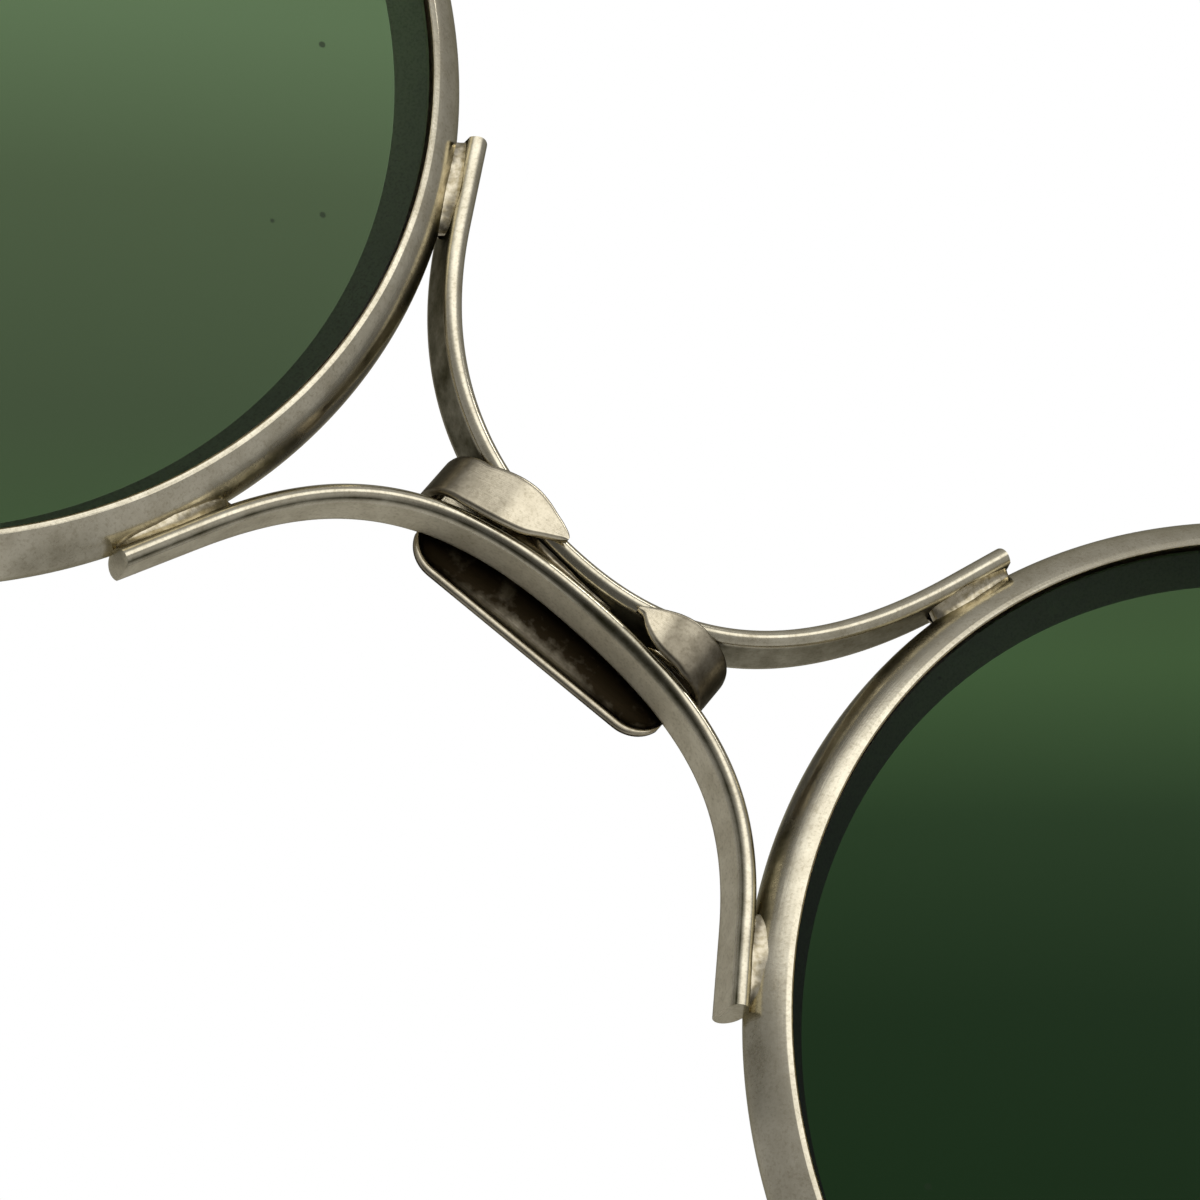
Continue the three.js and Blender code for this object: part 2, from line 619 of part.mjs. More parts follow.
// Leaf with an upper and a lower knuckle.
function makeFrontHinge() {
  const top = HINGE_Z + HINGE_HEIGHT / 2;
  const bottom = HINGE_Z - HINGE_HEIGHT / 2;
  const gap = HINGE_MIDDLE_KNUCKLE / 2 + HINGE_GAP;
  const inner = HINGE_X - KNUCKLE_RADIUS;
  const outer = HINGE_X + KNUCKLE_RADIUS;
  const leaf = box(inner, outer, HINGE_LEAF_FRONT_Y, HINGE_LEAF_BACK_Y, bottom + HINGE_GAP, top - HINGE_GAP);
  const knuckles = [[bottom, HINGE_Z - gap], [HINGE_Z + gap, top]].flatMap(([low, high]) => [
    upright(HINGE_X, HINGE_Y, low, high, KNUCKLE_RADIUS),
    box(
      HINGE_X - HINGE_WEB / 2,
      HINGE_X + HINGE_WEB / 2,
      HINGE_LEAF_FRONT_Y + HINGE_LEAF / 2,
      HINGE_Y,
      low + HINGE_GAP / 2,
      high - HINGE_GAP / 2,
    ),
  ]);
  return union([leaf, ...knuckles]).subtract(hingeBore());
}

// Middle knuckle with a leaf along the arm's inner face.
function makeTempleHinge() {
  const low = HINGE_Z - HINGE_MIDDLE_KNUCKLE / 2;
  const high = HINGE_Z + HINGE_MIDDLE_KNUCKLE / 2;
  const face = ARM_INNER_X - SOLDER_GAP;
  const knuckle = upright(HINGE_X, HINGE_Y, low, high, KNUCKLE_RADIUS);
  const leaf = box(face - HINGE_LEAF, face, HINGE_Y, HINGE_Y + TEMPLE_LEAF_LENGTH, low, high);
  return knuckle.add(leaf).subtract(hingeBore());
}

function makeHingeScrew() {
  return makeScrew(
    HINGE_X,
    HINGE_Y,
    HINGE_Z + HINGE_HEIGHT / 2,
    HINGE_Z - HINGE_HEIGHT / 2,
    HINGE_SCREW_RADIUS,
    1,
  );
}

const sunglasses = new THREE.Group();

function addPiece(parent, name, body, finish) {
  const mesh = new THREE.Mesh(geometryOf(body), new THREE.MeshStandardMaterial(finish));
  mesh.name = name;
  parent.add(mesh);
  return mesh;
}

// The same piece for both sides. The right one is the left one mirrored.
function addPair(name, body, finish) {
  addPiece(sunglasses, `${name}_left`, body, finish);
  addPiece(sunglasses, `${name}_right`, body.mirror([1, 0, 0]), finish);
}

addPair('rim', makeRim(), NICKEL_SILVER);
addPair('lens', makeLens(), GREEN_GLASS);
addPiece(sunglasses, 'bridge_wire_upper', makeUpperWire(), NICKEL_SILVER);
addPiece(sunglasses, 'bridge_wire_lower', makeLowerWire(), NICKEL_SILVER);

const saddle = new THREE.Group();
saddle.position.z = SADDLE_Z;
saddle.rotation.y = Math.atan(SADDLE_LEAN);
addPiece(saddle, 'nose_saddle', makeSaddle(), NICKEL_SILVER);
sunglasses.add(saddle);

addPair('endpiece', makeEndpiece(), NICKEL_SILVER);
addPair('closing_block', makeClosingBlock(), NICKEL_SILVER);
addPair('closing_screw', makeClosingScrew(), SCREW_STEEL);
addPair('front_hinge', makeFrontHinge(), NICKEL_SILVER);
addPair('temple_hinge', makeTempleHinge(), NICKEL_SILVER);
addPair('hinge_screw', makeHingeScrew(), SCREW_STEEL);
addPair('temple_arm', makeArm(), NICKEL_SILVER);
addPair('temple_tip', makeTip(), BROWN_PLASTIC);

// The origin is at the bottom centre of the open sunglasses.
sunglasses.updateMatrixWorld(true);
const bounds = new THREE.Box3().setFromObject(sunglasses, true);
sunglasses.position.set(0, -(bounds.min.y + bounds.max.y) / 2, -bounds.min.z);

export default sunglasses;
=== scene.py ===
"""Round metal frame sunglasses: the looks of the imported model, in metres, in the model's own frame.

Shapes are worked out in millimetres from the point midway between the two lens centres, on the plane of the
rims' front lips: +X is the wearer's left, +Y runs back to the wearer and +Z is up. A side is 1 for the wearer's
left and -1 for the right.
"""
import math

import bmesh
import bpy
import numpy as np
from mathutils import Matrix, Vector


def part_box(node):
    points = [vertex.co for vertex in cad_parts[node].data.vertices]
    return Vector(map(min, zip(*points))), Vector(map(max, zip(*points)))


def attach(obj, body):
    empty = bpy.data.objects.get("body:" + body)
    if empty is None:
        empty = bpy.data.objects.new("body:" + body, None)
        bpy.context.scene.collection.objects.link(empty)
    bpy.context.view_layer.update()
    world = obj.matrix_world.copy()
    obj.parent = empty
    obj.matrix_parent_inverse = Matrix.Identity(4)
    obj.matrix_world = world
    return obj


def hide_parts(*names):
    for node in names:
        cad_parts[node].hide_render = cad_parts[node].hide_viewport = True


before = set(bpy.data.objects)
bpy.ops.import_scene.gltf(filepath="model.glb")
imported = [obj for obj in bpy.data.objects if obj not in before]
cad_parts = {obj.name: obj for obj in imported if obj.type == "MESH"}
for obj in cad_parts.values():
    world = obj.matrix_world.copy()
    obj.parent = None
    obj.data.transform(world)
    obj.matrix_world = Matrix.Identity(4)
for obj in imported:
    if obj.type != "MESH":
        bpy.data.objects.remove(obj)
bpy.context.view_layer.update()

MM = 0.001
LEFT, RIGHT = 1, -1
SOFT = {"interpolation_type": "SMOOTHSTEP"}

# Rims, in millimetres as in the model
LENS_X = 34.0
RIM_INNER_RADIUS = 21.85
RIM_LIP = 0.2
RIM_LIP_ROLL = 0.035  # how far the lips are rolled in over the lens
RIM_HEIGHT = 1.15
RIM_DEPTH = 3.0
RIM_SPLIT = 0.3
RIM_SHOULDER = math.radians(62.0)
GROOVE_DEPTH = 0.6
GROOVE_WIDTH = 1.3
RIM_OUTER_RADIUS = RIM_INNER_RADIUS + RIM_LIP + RIM_HEIGHT
RIM_SIDE_X = LENS_X + RIM_OUTER_RADIUS
RIM_MID_Y = RIM_DEPTH / 2

# Lenses
LENS_CLEARANCE = 0.12
LENS_SETBACK = 0.35
LENS_EDGE = 2.4
LENS_BULGE = 1.2
LENS_CHAMFER = 1.02
REAR_FACE_DROP = 0.14  # the rear bevel is ground a little wider along the top

# Bridge wires
WIRE_WIDTH = 2.1
WIRE_HEIGHT = 0.9
WIRE_BELLY = 0.36
WIRE_MID_Y = 1.45
WIRE_OVAL = 40  # steps round the section's oval
SOLDER_GAP = 0.1
CROWN_SEAT = 0.2
BRIDGE_LEAN = 0.08
UPPER_WIRE = {
    "up": 1, "middle": -1.7, "seat": RIM_OUTER_RADIUS + SOLDER_GAP, "level": 6.7, "pull": 5.0,
    "angle": math.radians(22.3), "free": 1.3, "tail": {LEFT: 1.0, RIGHT: 2.2}, "run": {LEFT: 2.8, RIGHT: 1.9},
    "turn": {LEFT: math.radians(8.0), RIGHT: math.radians(8.0)}, "joint_y": 0.9,
    "spread": {LEFT: 0.36, RIGHT: 0.36}, "seed": 3, "flat_shade_and_tarnish": 0.75, "corner_painted_shade": 0.2,
}
LOWER_WIRE = {
    "up": -1, "middle": -2.7, "seat": RIM_OUTER_RADIUS + SOLDER_GAP + WIRE_HEIGHT - CROWN_SEAT, "level": 6.6,
    "pull": 5.0, "angle": math.radians(27.9), "free": 2.1, "tail": {LEFT: 1.3, RIGHT: 1.3},
    "run": {LEFT: 2.8, RIGHT: 3.8}, "turn": {LEFT: math.radians(9.0), RIGHT: math.radians(-4.0)}, "joint_y": 0.7,
    "spread": {LEFT: 0.62, RIGHT: 0.38}, "seed": 8, "flat_shade_and_tarnish": 0.12, "corner_painted_shade": 0.85,
}
MIDDLE_SEED = 5

# Nose saddle
SHEET = 0.4
SADDLE_Z = -1.75
SADDLE_LEAN = 0.065
SADDLE_FRONT_Y = 0.08
SADDLE_BACK_Y = 2.82
RIGHT_TIP_X = 1.2
LEFT_TIP_X = 2.4
TAB_BOW = 0.2
TAB_BOW_X = 3.7
TAB_FOLD_X = 5.25
FOLD_END_Y = 2.08
FOLD_STEPS = 44
STRAP_HALF_WIDTH = 6.35
STRAP_HALF_HEIGHT = 0.9
LIP_START = 2.24
LIP_ROLL = 0.6
LIP_ROLL_LENGTH = 0.82
LIP_HALF_WIDTH = 5.8
LIP_CORNER = 1.4
# Tab outlines: distances from the middle of the bridge, then heights on the strap's own level
RIGHT_TAB_TOP = (
    (1.2, 1.3, 1.58, 2.11, 2.62, 3.26, 3.85, 4.52, 5.25), (0.6, 0.74, 0.92, 1.13, 1.32, 1.44, 1.4, 1.24, 0.98),
)
RIGHT_TAB_LOW = (
    (1.2, 1.3, 2.02, 2.53, 3.29, 4.08, 5.25), (0.5, 0.42, -0.04, -0.36, -0.63, -0.82, -0.98),
)
LEFT_TAB_TOP = (
    (2.4, 2.5, 2.7, 3.08, 3.88, 4.28, 4.71, 5.25), (0.26, 0.38, 0.56, 0.82, 1.22, 1.33, 1.37, 1.3),
)
LEFT_TAB_LOW = (
    (2.4, 2.65, 2.95, 3.46, 3.95, 4.41, 4.88, 5.25), (0.14, 0.12, -0.12, -0.4, -0.54, -0.58, -0.6, -0.68),
)

# Endpieces and hinges
BLOCK_START_X = RIM_SIDE_X - 0.5
BLOCK_Y = (0.3, 2.7)
BLOCK_LOW, BLOCK_HIGH = 0.15, 2.35
BLOCK_EDGE = 0.35
ENDPIECE_END_X = 65.95
CLOSING_BLOCK_END_X = 61.4
HINGE_X = RIM_SIDE_X + 6.0
HINGE_Y = 4.65
HINGE_Z = 1.25
HINGE_HALF_HEIGHT = 1.8
KNUCKLE_RADIUS = 1.1
KNUCKLE_END = 0.12
FRONT_KNUCKLE_START = 0.7
TEMPLE_KNUCKLE_HALF = 0.6
LEAF_Y = (2.72, 3.4)
LEAF_THICKNESS = 0.68
LEAF_LENGTH = 6.0
LEAF_EDGE = 0.12
LEAF_INSET = 0.1
LEAF_GAP = 0.02
WEB_HALF_WIDTH = 0.75
WEB_START_Y = 3.1
WEB_EDGE = 0.05

# Screws
SCREW_SIZES = {
    "Head radius": 1.0 * MM, "Head height": 0.6 * MM, "Slot width": 0.3 * MM, "Slot depth": 0.25 * MM,
}
CLOSING_SCREW_X = RIM_SIDE_X + 2.3
CLOSING_SHANK = (0.6, 4.0)  # radius and length
HINGE_SHANK = (0.5, 3.6)

# Temples
ARM_MID_X = HINGE_X + 1.9
ARM_HALF_WIDTH = 0.65
ARM_HALF_HEIGHTS = (1.5, 0.9)  # at the hinge and from the ear bend on
ARM_CORNER = 0.35
ARM_STRAIGHT = 92.0
ARM_FRONT_Y = 2.85
EAR_BEND_Y = ARM_FRONT_Y + ARM_STRAIGHT
EAR_RADIUS = 16.0
EAR_TURN = math.radians(38.0)
EAR_LENGTH = EAR_RADIUS * EAR_TURN
TIP_START = 4.0  # past the end of the ear bend
TIP_PAST_ARM = 6.0
TIP_HALF_WIDTH = 1.25
TIP_START_HALF_HEIGHT = 1.5
TIP_END_HALF_HEIGHT = 2.2
TIP_CORNER = 1.1
EAR_FALL = HINGE_Z + RIM_OUTER_RADIUS - TIP_END_HALF_HEIGHT - EAR_RADIUS * (1 - math.cos(EAR_TURN))
EAR_DROP = EAR_FALL / math.sin(EAR_TURN)

# The photograph's view
EYE = np.array([0.98246, -218.37409, -127.39905])
AIM = np.array([1.08084, 0.0, -2.3811])
ROLL = 0.63088
FOCAL_LENGTH = 206.02

rim_low, rim_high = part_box("rim_left")
ORIGIN = np.array([0.0, rim_low.y, (rim_low.z + rim_high.z) / 2])
LENS_LEVEL = ORIGIN[2]


def placed(points):
    """Millimetres from the middle of the bridge to metres in the model's frame."""
    return np.asarray(points, float) * MM + ORIGIN


def in_scene(name, data):
    """A new object in the scene."""
    made = bpy.data.objects.new(name, data)
    bpy.context.scene.collection.objects.link(made)
    return made


# Nodes and colours

def add(tree, kind, inputs=None, **settings):
    """Adds a node with its settings; each input is a value, a socket, or a node whose first output feeds it."""
    made = tree.nodes.new(kind)
    for name, value in settings.items():
        setattr(made, name, value)
    for socket, value in (inputs or {}).items():
        if isinstance(value, bpy.types.Node):
            value = value.outputs[0]
        if isinstance(value, bpy.types.NodeSocket):
            tree.links.new(value, made.inputs[socket])
        else:
            made.inputs[socket].default_value = value
    return made


def linear(code):
    """An sRGB hex colour as linear RGBA."""
    parts = [int(code[i:i + 2], 16) / 255 for i in (1, 3, 5)]
    return tuple(c / 12.92 if c <= 0.04045 else ((c + 0.055) / 1.055) ** 2.4 for c in parts) + (1.0,)


def material(name, look, *settings):
    """A material whose look is built by a function from places on the piece."""
    made = bpy.data.materials.new(name)
    made.use_nodes = True
    tree = made.node_tree
    tree.nodes.clear()
    body = add(tree, "ShaderNodeTexCoord").outputs["Object"]
    add(tree, "ShaderNodeOutputMaterial", {"Surface": look(tree, body, *settings)})
    return made


def nickel_silver(tree, body, clean, worn, dark, roughness, streak):
    """Nickel silver, drawn or rolled and then worn: warm grey satin, with fine lines along its length,
    a mottled bloom about a millimetre across, and brown to olive tarnish where pieces meet; the same dark colour
    also paints shade and dark reflections onto some pieces."""
    along = add(tree, "ShaderNodeUVMap", uv_map="UVMap")
    tarnish_and_shade = add(tree, "ShaderNodeAttribute", attribute_name="tarnish_and_shade").outputs["Fac"]
    filed = add(tree, "ShaderNodeAttribute", attribute_name="filed").outputs["Fac"]
    # Drawing lines: 0.1 mm apart and a few millimetres long
    stretch = add(tree, "ShaderNodeMapping", {"Vector": along, "Scale": (0.35, 9.0, 1.0)})
    lines = add(tree, "ShaderNodeTexNoise", {"Vector": stretch, "Scale": 1.0, "Detail": 3.0})
    # Bloom: patches of about 1.2 mm
    bloom = add(tree, "ShaderNodeTexNoise", {"Vector": body, "Scale": 850.0, "Detail": 5.0, "Roughness": 0.62})
    # Grain: specks of about 0.12 mm
    grain = add(tree, "ShaderNodeTexNoise", {"Vector": body, "Scale": 8300.0, "Detail": 2.0})
    patch = add(tree, "ShaderNodeMapRange", {"Value": bloom, "From Min": 0.38, "From Max": 0.7, "To Max": 0.6})
    speck = add(tree, "ShaderNodeMapRange", {"Value": grain, "From Min": 0.5, "From Max": 0.75, "To Max": 0.5})
    wear = add(tree, "ShaderNodeMath", {0: patch, 1: speck}, operation="ADD", use_clamp=True)
    metal = add(tree, "ShaderNodeMix", {0: wear, 6: linear(clean), 7: linear(worn)}, data_type="RGBA")
    # Tarnish and painted shade are broken up by the bloom
    broken = add(tree, "ShaderNodeMath", {0: bloom, 1: 0.55}, operation="ADD")
    depth = add(tree, "ShaderNodeMath", {0: tarnish_and_shade, 1: broken}, operation="MULTIPLY", use_clamp=True)
    colour = add(tree, "ShaderNodeMix", {0: depth, 6: metal.outputs[2], 7: linear(dark)}, data_type="RGBA")
    # Filed flats are dulled by oxide, which scatters the light
    bare = add(tree, "ShaderNodeMapRange", {"Value": filed, "To Min": 1.0, "To Max": 0.65})
    spread = add(tree, "ShaderNodeMath", {0: bloom, 1: grain}, operation="ADD")
    rough = add(tree, "ShaderNodeMapRange", {
        "Value": spread, "From Min": 0.7, "From Max": 1.3, "To Min": roughness - 0.05, "To Max": roughness + 0.07,
    })
    dull = add(tree, "ShaderNodeMath", {0: depth, 1: 0.2, 2: rough}, operation="MULTIPLY_ADD")
    satin = add(tree, "ShaderNodeMath", {0: filed, 1: 0.4, 2: dull}, operation="MULTIPLY_ADD")
    relief = add(tree, "ShaderNodeMath", {0: grain, 1: 0.25, 2: bloom}, operation="MULTIPLY_ADD")
    scored = add(tree, "ShaderNodeMath", {0: lines, 1: streak, 2: relief}, operation="MULTIPLY_ADD")
    bump = add(tree, "ShaderNodeBump", {"Height": scored, "Strength": 0.4, "Distance": 0.02 * MM})
    return add(tree, "ShaderNodeBsdfPrincipled", {
        "Base Color": colour.outputs[2], "Metallic": bare, "Roughness": satin, "Normal": bump,
        "Specular Tint": linear("#CCC9BA"),
    })


def solder(tree, body):
    """Hard solder, melted and left rough: brighter than the wire, lumpy at about 0.2 mm."""
    lumps = add(tree, "ShaderNodeTexNoise", {"Vector": body, "Scale": 4500.0, "Detail": 3.0, "Roughness": 0.5})
    tarnish_and_shade = add(tree, "ShaderNodeAttribute", attribute_name="tarnish_and_shade").outputs["Fac"]
    hollow = add(tree, "ShaderNodeMapRange", {"Value": lumps, "From Min": 0.4, "From Max": 0.7})
    metal = add(tree, "ShaderNodeMix", {0: hollow, 6: linear("#D2C8B0"), 7: linear("#A69A7C")}, data_type="RGBA")
    colour = add(tree, "ShaderNodeMix", {0: tarnish_and_shade, 6: metal.outputs[2], 7: linear("#4A3A1F")}, data_type="RGBA")
    bump = add(tree, "ShaderNodeBump", {"Height": lumps, "Strength": 0.25, "Distance": 0.03 * MM})
    return add(tree, "ShaderNodeBsdfPrincipled", {
        "Base Color": colour.outputs[2], "Metallic": 1.0, "Roughness": 0.24, "Normal": bump,
    })


def green_glass(tree, body):
    """Green mineral glass, polished: a deep green, lightened upwards by painted light, a clear gloss and a few dust
    specks.
    """
    # Painted light: the green runs from light, up on the wearer's right, to dark, down on the left, and both lenses
    # come to one green on their outer sides
    place = add(tree, "ShaderNodeSeparateXYZ", {"Vector": body}).outputs
    level = add(tree, "ShaderNodeMath", {0: place["Z"], 1: LENS_LEVEL}, operation="SUBTRACT")
    painted_light_slope = add(tree, "ShaderNodeMath", {0: place["X"], 1: -0.83, 2: level}, operation="MULTIPLY_ADD")
    out = add(tree, "ShaderNodeMath", {0: place["X"]}, operation="ABSOLUTE")
    inner = add(tree, "ShaderNodeMapRange", {"Value": out, "From Min": 0.054, "From Max": 0.03}, **SOFT)
    kept = add(tree, "ShaderNodeMath", {0: painted_light_slope, 1: inner}, operation="MULTIPLY")
    height = add(tree, "ShaderNodeMapRange", {"Value": kept, "From Min": -0.034, "From Max": 0.028})
    tint_with_painted_light = add(tree, "ShaderNodeValToRGB", {"Fac": height})
    for stop, (at, shade) in zip(tint_with_painted_light.color_ramp.elements, ((0.02, "#0C2609"), (1.0, "#59704E"))):
        stop.position, stop.color = at, linear(shade)
    between = ((0.16, "#11290E"), (0.32, "#20371B"), (0.45, "#3A5430"), (0.66, "#3E4E35"), (0.85, "#48593D"))
    for at, shade in between:
        tint_with_painted_light.color_ramp.elements.new(at).color = linear(shade)
    # Dust: a few specks of about 0.15 mm
    specks = add(tree, "ShaderNodeTexVoronoi", {"Vector": body, "Scale": 260.0})
    dust = add(tree, "ShaderNodeMapRange", {
        "Value": specks, "From Min": 0.036, "From Max": 0.043, "To Min": 1.0, "To Max": 0.0,
    })
    colour = add(tree, "ShaderNodeMix", {0: dust, 6: tint_with_painted_light.outputs["Color"], 7: linear("#20281C")}, data_type="RGBA")
    return add(tree, "ShaderNodeBsdfPrincipled", {
        "Base Color": colour.outputs[2], "Roughness": 0.02, "IOR": 1.523,
        "Specular Tint": (0.12, 0.12, 0.12, 1.0), "Transmission Weight": 1.0,
    })


def ground_glass(tree, body):
    """The lens's ground edge: matt grey glass that takes no light through, with painted light making it paler on the
    wearer's right, and grit marks of about 0.1 mm.
    """
    grit = add(tree, "ShaderNodeTexNoise", {"Vector": body, "Scale": 9000.0, "Detail": 3.0})
    place = add(tree, "ShaderNodeSeparateXYZ", {"Vector": body}).outputs
    # Painted light: the edge is paler on the wearer's right and darker on the left
    lit = add(tree, "ShaderNodeMapRange", {"Value": place["X"], "From Min": 0.03, "From Max": -0.03})
    ground = add(tree, "ShaderNodeMix", {0: lit, 6: linear("#7E7A76"), 7: linear("#DCD6D5")}, data_type="RGBA")
    pitted = add(tree, "ShaderNodeMapRange", {"Value": grit, "From Min": 0.45, "From Max": 0.7, "To Max": 0.3})
    colour = add(tree, "ShaderNodeMix", {0: pitted, 6: ground.outputs[2], 7: linear("#3C3F38")}, data_type="RGBA")
    return add(tree, "ShaderNodeBsdfPrincipled", {"Base Color": colour.outputs[2], "Roughness": 0.75})


def screw_steel(tree, body):
    """Turned steel screws: a cooler grey than the frame, mottled at about 0.15 mm by the lathe."""
    marks = add(tree, "ShaderNodeTexNoise", {"Vector": body, "Scale": 6000.0, "Detail": 3.0})
    colour = add(tree, "ShaderNodeMix", {0: marks, 6: linear("#BDB9B0"), 7: linear("#7F7A70")}, data_type="RGBA")
    rough = add(tree, "ShaderNodeMapRange", {"Value": marks, "To Min": 0.22, "To Max": 0.4})
    return add(tree, "ShaderNodeBsdfPrincipled", {
        "Base Color": colour.outputs[2], "Metallic": 1.0, "Roughness": rough,
    })


def brown_acetate(tree, body):
    """Dark brown acetate, polished: soft clouds of amber a few millimetres across under a gloss."""
    clouds = add(tree, "ShaderNodeTexNoise", {"Vector": body, "Scale": 260.0, "Detail": 3.0, "Distortion": 1.2})
    patch = add(tree, "ShaderNodeMapRange", {"Value": clouds, "From Min": 0.42, "From Max": 0.66})
    colour = add(tree, "ShaderNodeMix", {0: patch, 6: linear("#2A170D"), 7: linear("#6B3D1C")}, data_type="RGBA")
    fine = add(tree, "ShaderNodeTexNoise", {"Vector": body, "Scale": 2500.0, "Detail": 2.0})
    rough = add(tree, "ShaderNodeMapRange", {"Value": fine, "To Min": 0.14, "To Max": 0.3})
    return add(tree, "ShaderNodeBsdfPrincipled", {
        "Base Color": colour.outputs[2], "Roughness": rough, "IOR": 1.48,
    })


# Meshes

def points_of(mesh):
    """A mesh's points as an array, in metres."""
    points = np.empty(len(mesh.vertices) * 3)
    mesh.vertices.foreach_get("co", points)
    return points.reshape(-1, 3)


def finish_mesh(mesh, sharp=38.0):
    """Points the faces outwards and shades them smooth up to an angle."""
    points = points_of(mesh)
    mesh.calc_loop_triangles()
    triangles = np.empty(len(mesh.loop_triangles) * 3, int)
    mesh.loop_triangles.foreach_get("vertices", triangles)
    a, b, c = (points - points[0])[triangles.reshape(-1, 3)].transpose(1, 0, 2)
    if np.sum(a * np.cross(b, c)) < 0:
        mesh.flip_normals()
    mesh.polygons.foreach_set("use_smooth", [True] * len(mesh.polygons))
    mesh.set_sharp_from_angle(angle=math.radians(sharp))
    return mesh


def loft(name, rings, finishes, row_finish=None, sharp=38.0):
    """Skins a row of closed sections, in millimetres, with a UV map in millimetres along and around."""
    rings = np.asarray(rings, float)
    count, around = rings.shape[:2]
    middles = rings.mean(axis=1)
    steps = np.linalg.norm(np.diff(middles, axis=0), axis=1)
    if steps.max() < 0.05:
        steps = np.linalg.norm(np.diff(rings[:, 0], axis=0), axis=1)
    along = np.concatenate([[0.0], np.cumsum(steps)])
    widest = rings[np.argmax(np.linalg.norm(rings - middles[:, None], axis=2).mean(axis=1))]
    girth = np.concatenate([[0.0], np.cumsum(np.linalg.norm(np.roll(widest, -1, 0) - widest, axis=1))])
    i, j = (g.ravel() for g in np.meshgrid(np.arange(count - 1), np.arange(around), indexing="ij"))
    here, beyond, beside = i * around, (i + 1) * around, (j + 1) % around
    faces = np.stack([here + j, beyond + j, beyond + beside, here + beside], 1).tolist()
    faces += [list(range(around)), list(range((count - 1) * around, count * around))[::-1]]
    a, b, c, d = along[i], along[i + 1], girth[j], girth[j + 1]
    uv = [np.stack([a, c, b, c, b, d, a, d], 1).reshape(-1, 2)]
    for ring in (rings[0], rings[-1][::-1]):
        flat = ring - ring.mean(axis=0)
        uv.append(flat @ np.linalg.svd(flat, full_matrices=False)[2][:2].T)
    mesh = bpy.data.meshes.new(name)
    mesh.from_pydata(placed(rings.reshape(-1, 3)).tolist(), [], faces)
    mesh.uv_layers.new(name="UVMap").data.foreach_set("uv", np.concatenate(uv).ravel())
    for finish in finishes:
        mesh.materials.append(finish)
    if row_finish is not None:
        mesh.polygons.foreach_set("material_index", np.repeat(row_finish, around).tolist() + [0, 0])
    mesh.attributes.new("tarnish_and_shade", "FLOAT", "POINT")
    return finish_mesh(mesh, sharp)


def stain(mesh, amount, kind="tarnish_and_shade"):
    """Writes how tarnished or painted with shade, or how filed, each point is; amount is worked out from points in
    millimetres.
    """
    values = np.clip(amount((points_of(mesh) - ORIGIN) / MM), 0.0, 1.0)
    layer = mesh.attributes.get(kind) or mesh.attributes.new(kind, "FLOAT", "POINT")
    layer.data.foreach_set("value", values)


def near(points, line, reach):
    """1 on a line of points, fading to 0 a few times reach away."""
    line = np.asarray(line, float)
    gap = np.min(np.linalg.norm(points[:, None] - line[None], axis=2), axis=1)
    return np.exp(-(gap / reach) ** 2)


def together(name, meshes):
    """One mesh from several that share their finishes."""
    whole = bmesh.new()
    for mesh in meshes:
        whole.from_mesh(mesh)
    joined = bpy.data.meshes.new(name)
    whole.to_mesh(joined)
    whole.free()
    for finish in meshes[0].materials:
        joined.materials.append(finish)
    for mesh in meshes:
        bpy.data.meshes.remove(mesh)
    return joined


def show(mesh, name, body, slot, *nodes):
    """Puts a finished mesh in the scene, on its body, in place of the model's nodes."""
    piece = in_scene(name, mesh)
    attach(piece, body)
    if nodes:
        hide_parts(*nodes)
    return piece


def arc(start, corner, end, count):
    """Points on a curve that leaves start towards a corner and comes to end from it."""
    t = np.linspace(0.0, 1.0, count)[:, None]
    return (1 - t) ** 2 * start + 2 * t * (1 - t) * corner + t ** 2 * end


def bezier(a, b, c, d, count):
    """Points on a curve from a to d, with handles b and c."""
    t = np.linspace(0.0, 1.0, count)[:, None]
    return (1 - t) ** 3 * a + 3 * (1 - t) ** 2 * t * b + 3 * (1 - t) * t ** 2 * c + t ** 3 * d


def rounded(corners, radius, steps=4):
    """A closed outline with its corners rounded off."""
    corners = np.asarray(corners, float)
    outline = []
    for before, corner, after in zip(np.roll(corners, 1, 0), corners, np.roll(corners, -1, 0)):
        start = corner + (before - corner) * min(radius / np.linalg.norm(before - corner), 0.5)
        end = corner + (after - corner) * min(radius / np.linalg.norm(after - corner), 0.5)
        outline.extend(arc(start, corner, end, steps + 1))
    return np.array(outline)


def through(knots, values, at):
    """A smooth curve through values at rising knots."""
    knots, values = np.asarray(knots, float), np.asarray(values, float)
    slopes = np.gradient(values, knots)
    at = np.clip(np.asarray(at, float), knots[0], knots[-1])
    k = np.clip(np.searchsorted(knots, at, side="right") - 1, 0, len(knots) - 2)
    width = knots[k + 1] - knots[k]
    t = (at - knots[k]) / width
    return (
        (2 * t ** 3 - 3 * t ** 2 + 1) * values[k] + (t ** 3 - 2 * t ** 2 + t) * width * slopes[k]
        + (3 * t ** 2 - 2 * t ** 3) * values[k + 1] + (t ** 3 - t ** 2) * width * slopes[k + 1]
    )


# Node trees for what follows a path or repeats

def start_tree(name, inputs, result):
    """A geometry tree with named inputs and one output, and the sockets that its inputs arrive on."""
    tree = bpy.data.node_groups.new(name, "GeometryNodeTree")
    for label, kind in inputs.items():
        tree.interface.new_socket(label, in_out="INPUT", socket_type="NodeSocket" + kind)
    tree.interface.new_socket(result, in_out="OUTPUT", socket_type="NodeSocketGeometry")
    return tree, add(tree, "NodeGroupInput").outputs


def end_tree(tree, made, finish):
    """Makes what a tree has placed real, coats it and hands it out."""
    real = add(tree, "GeometryNodeRealizeInstances", {"Geometry": made})
    coated = add(tree, "GeometryNodeSetMaterial", {"Geometry": real, "Material": finish})
    add(tree, "NodeGroupOutput", {0: coated})
    return tree


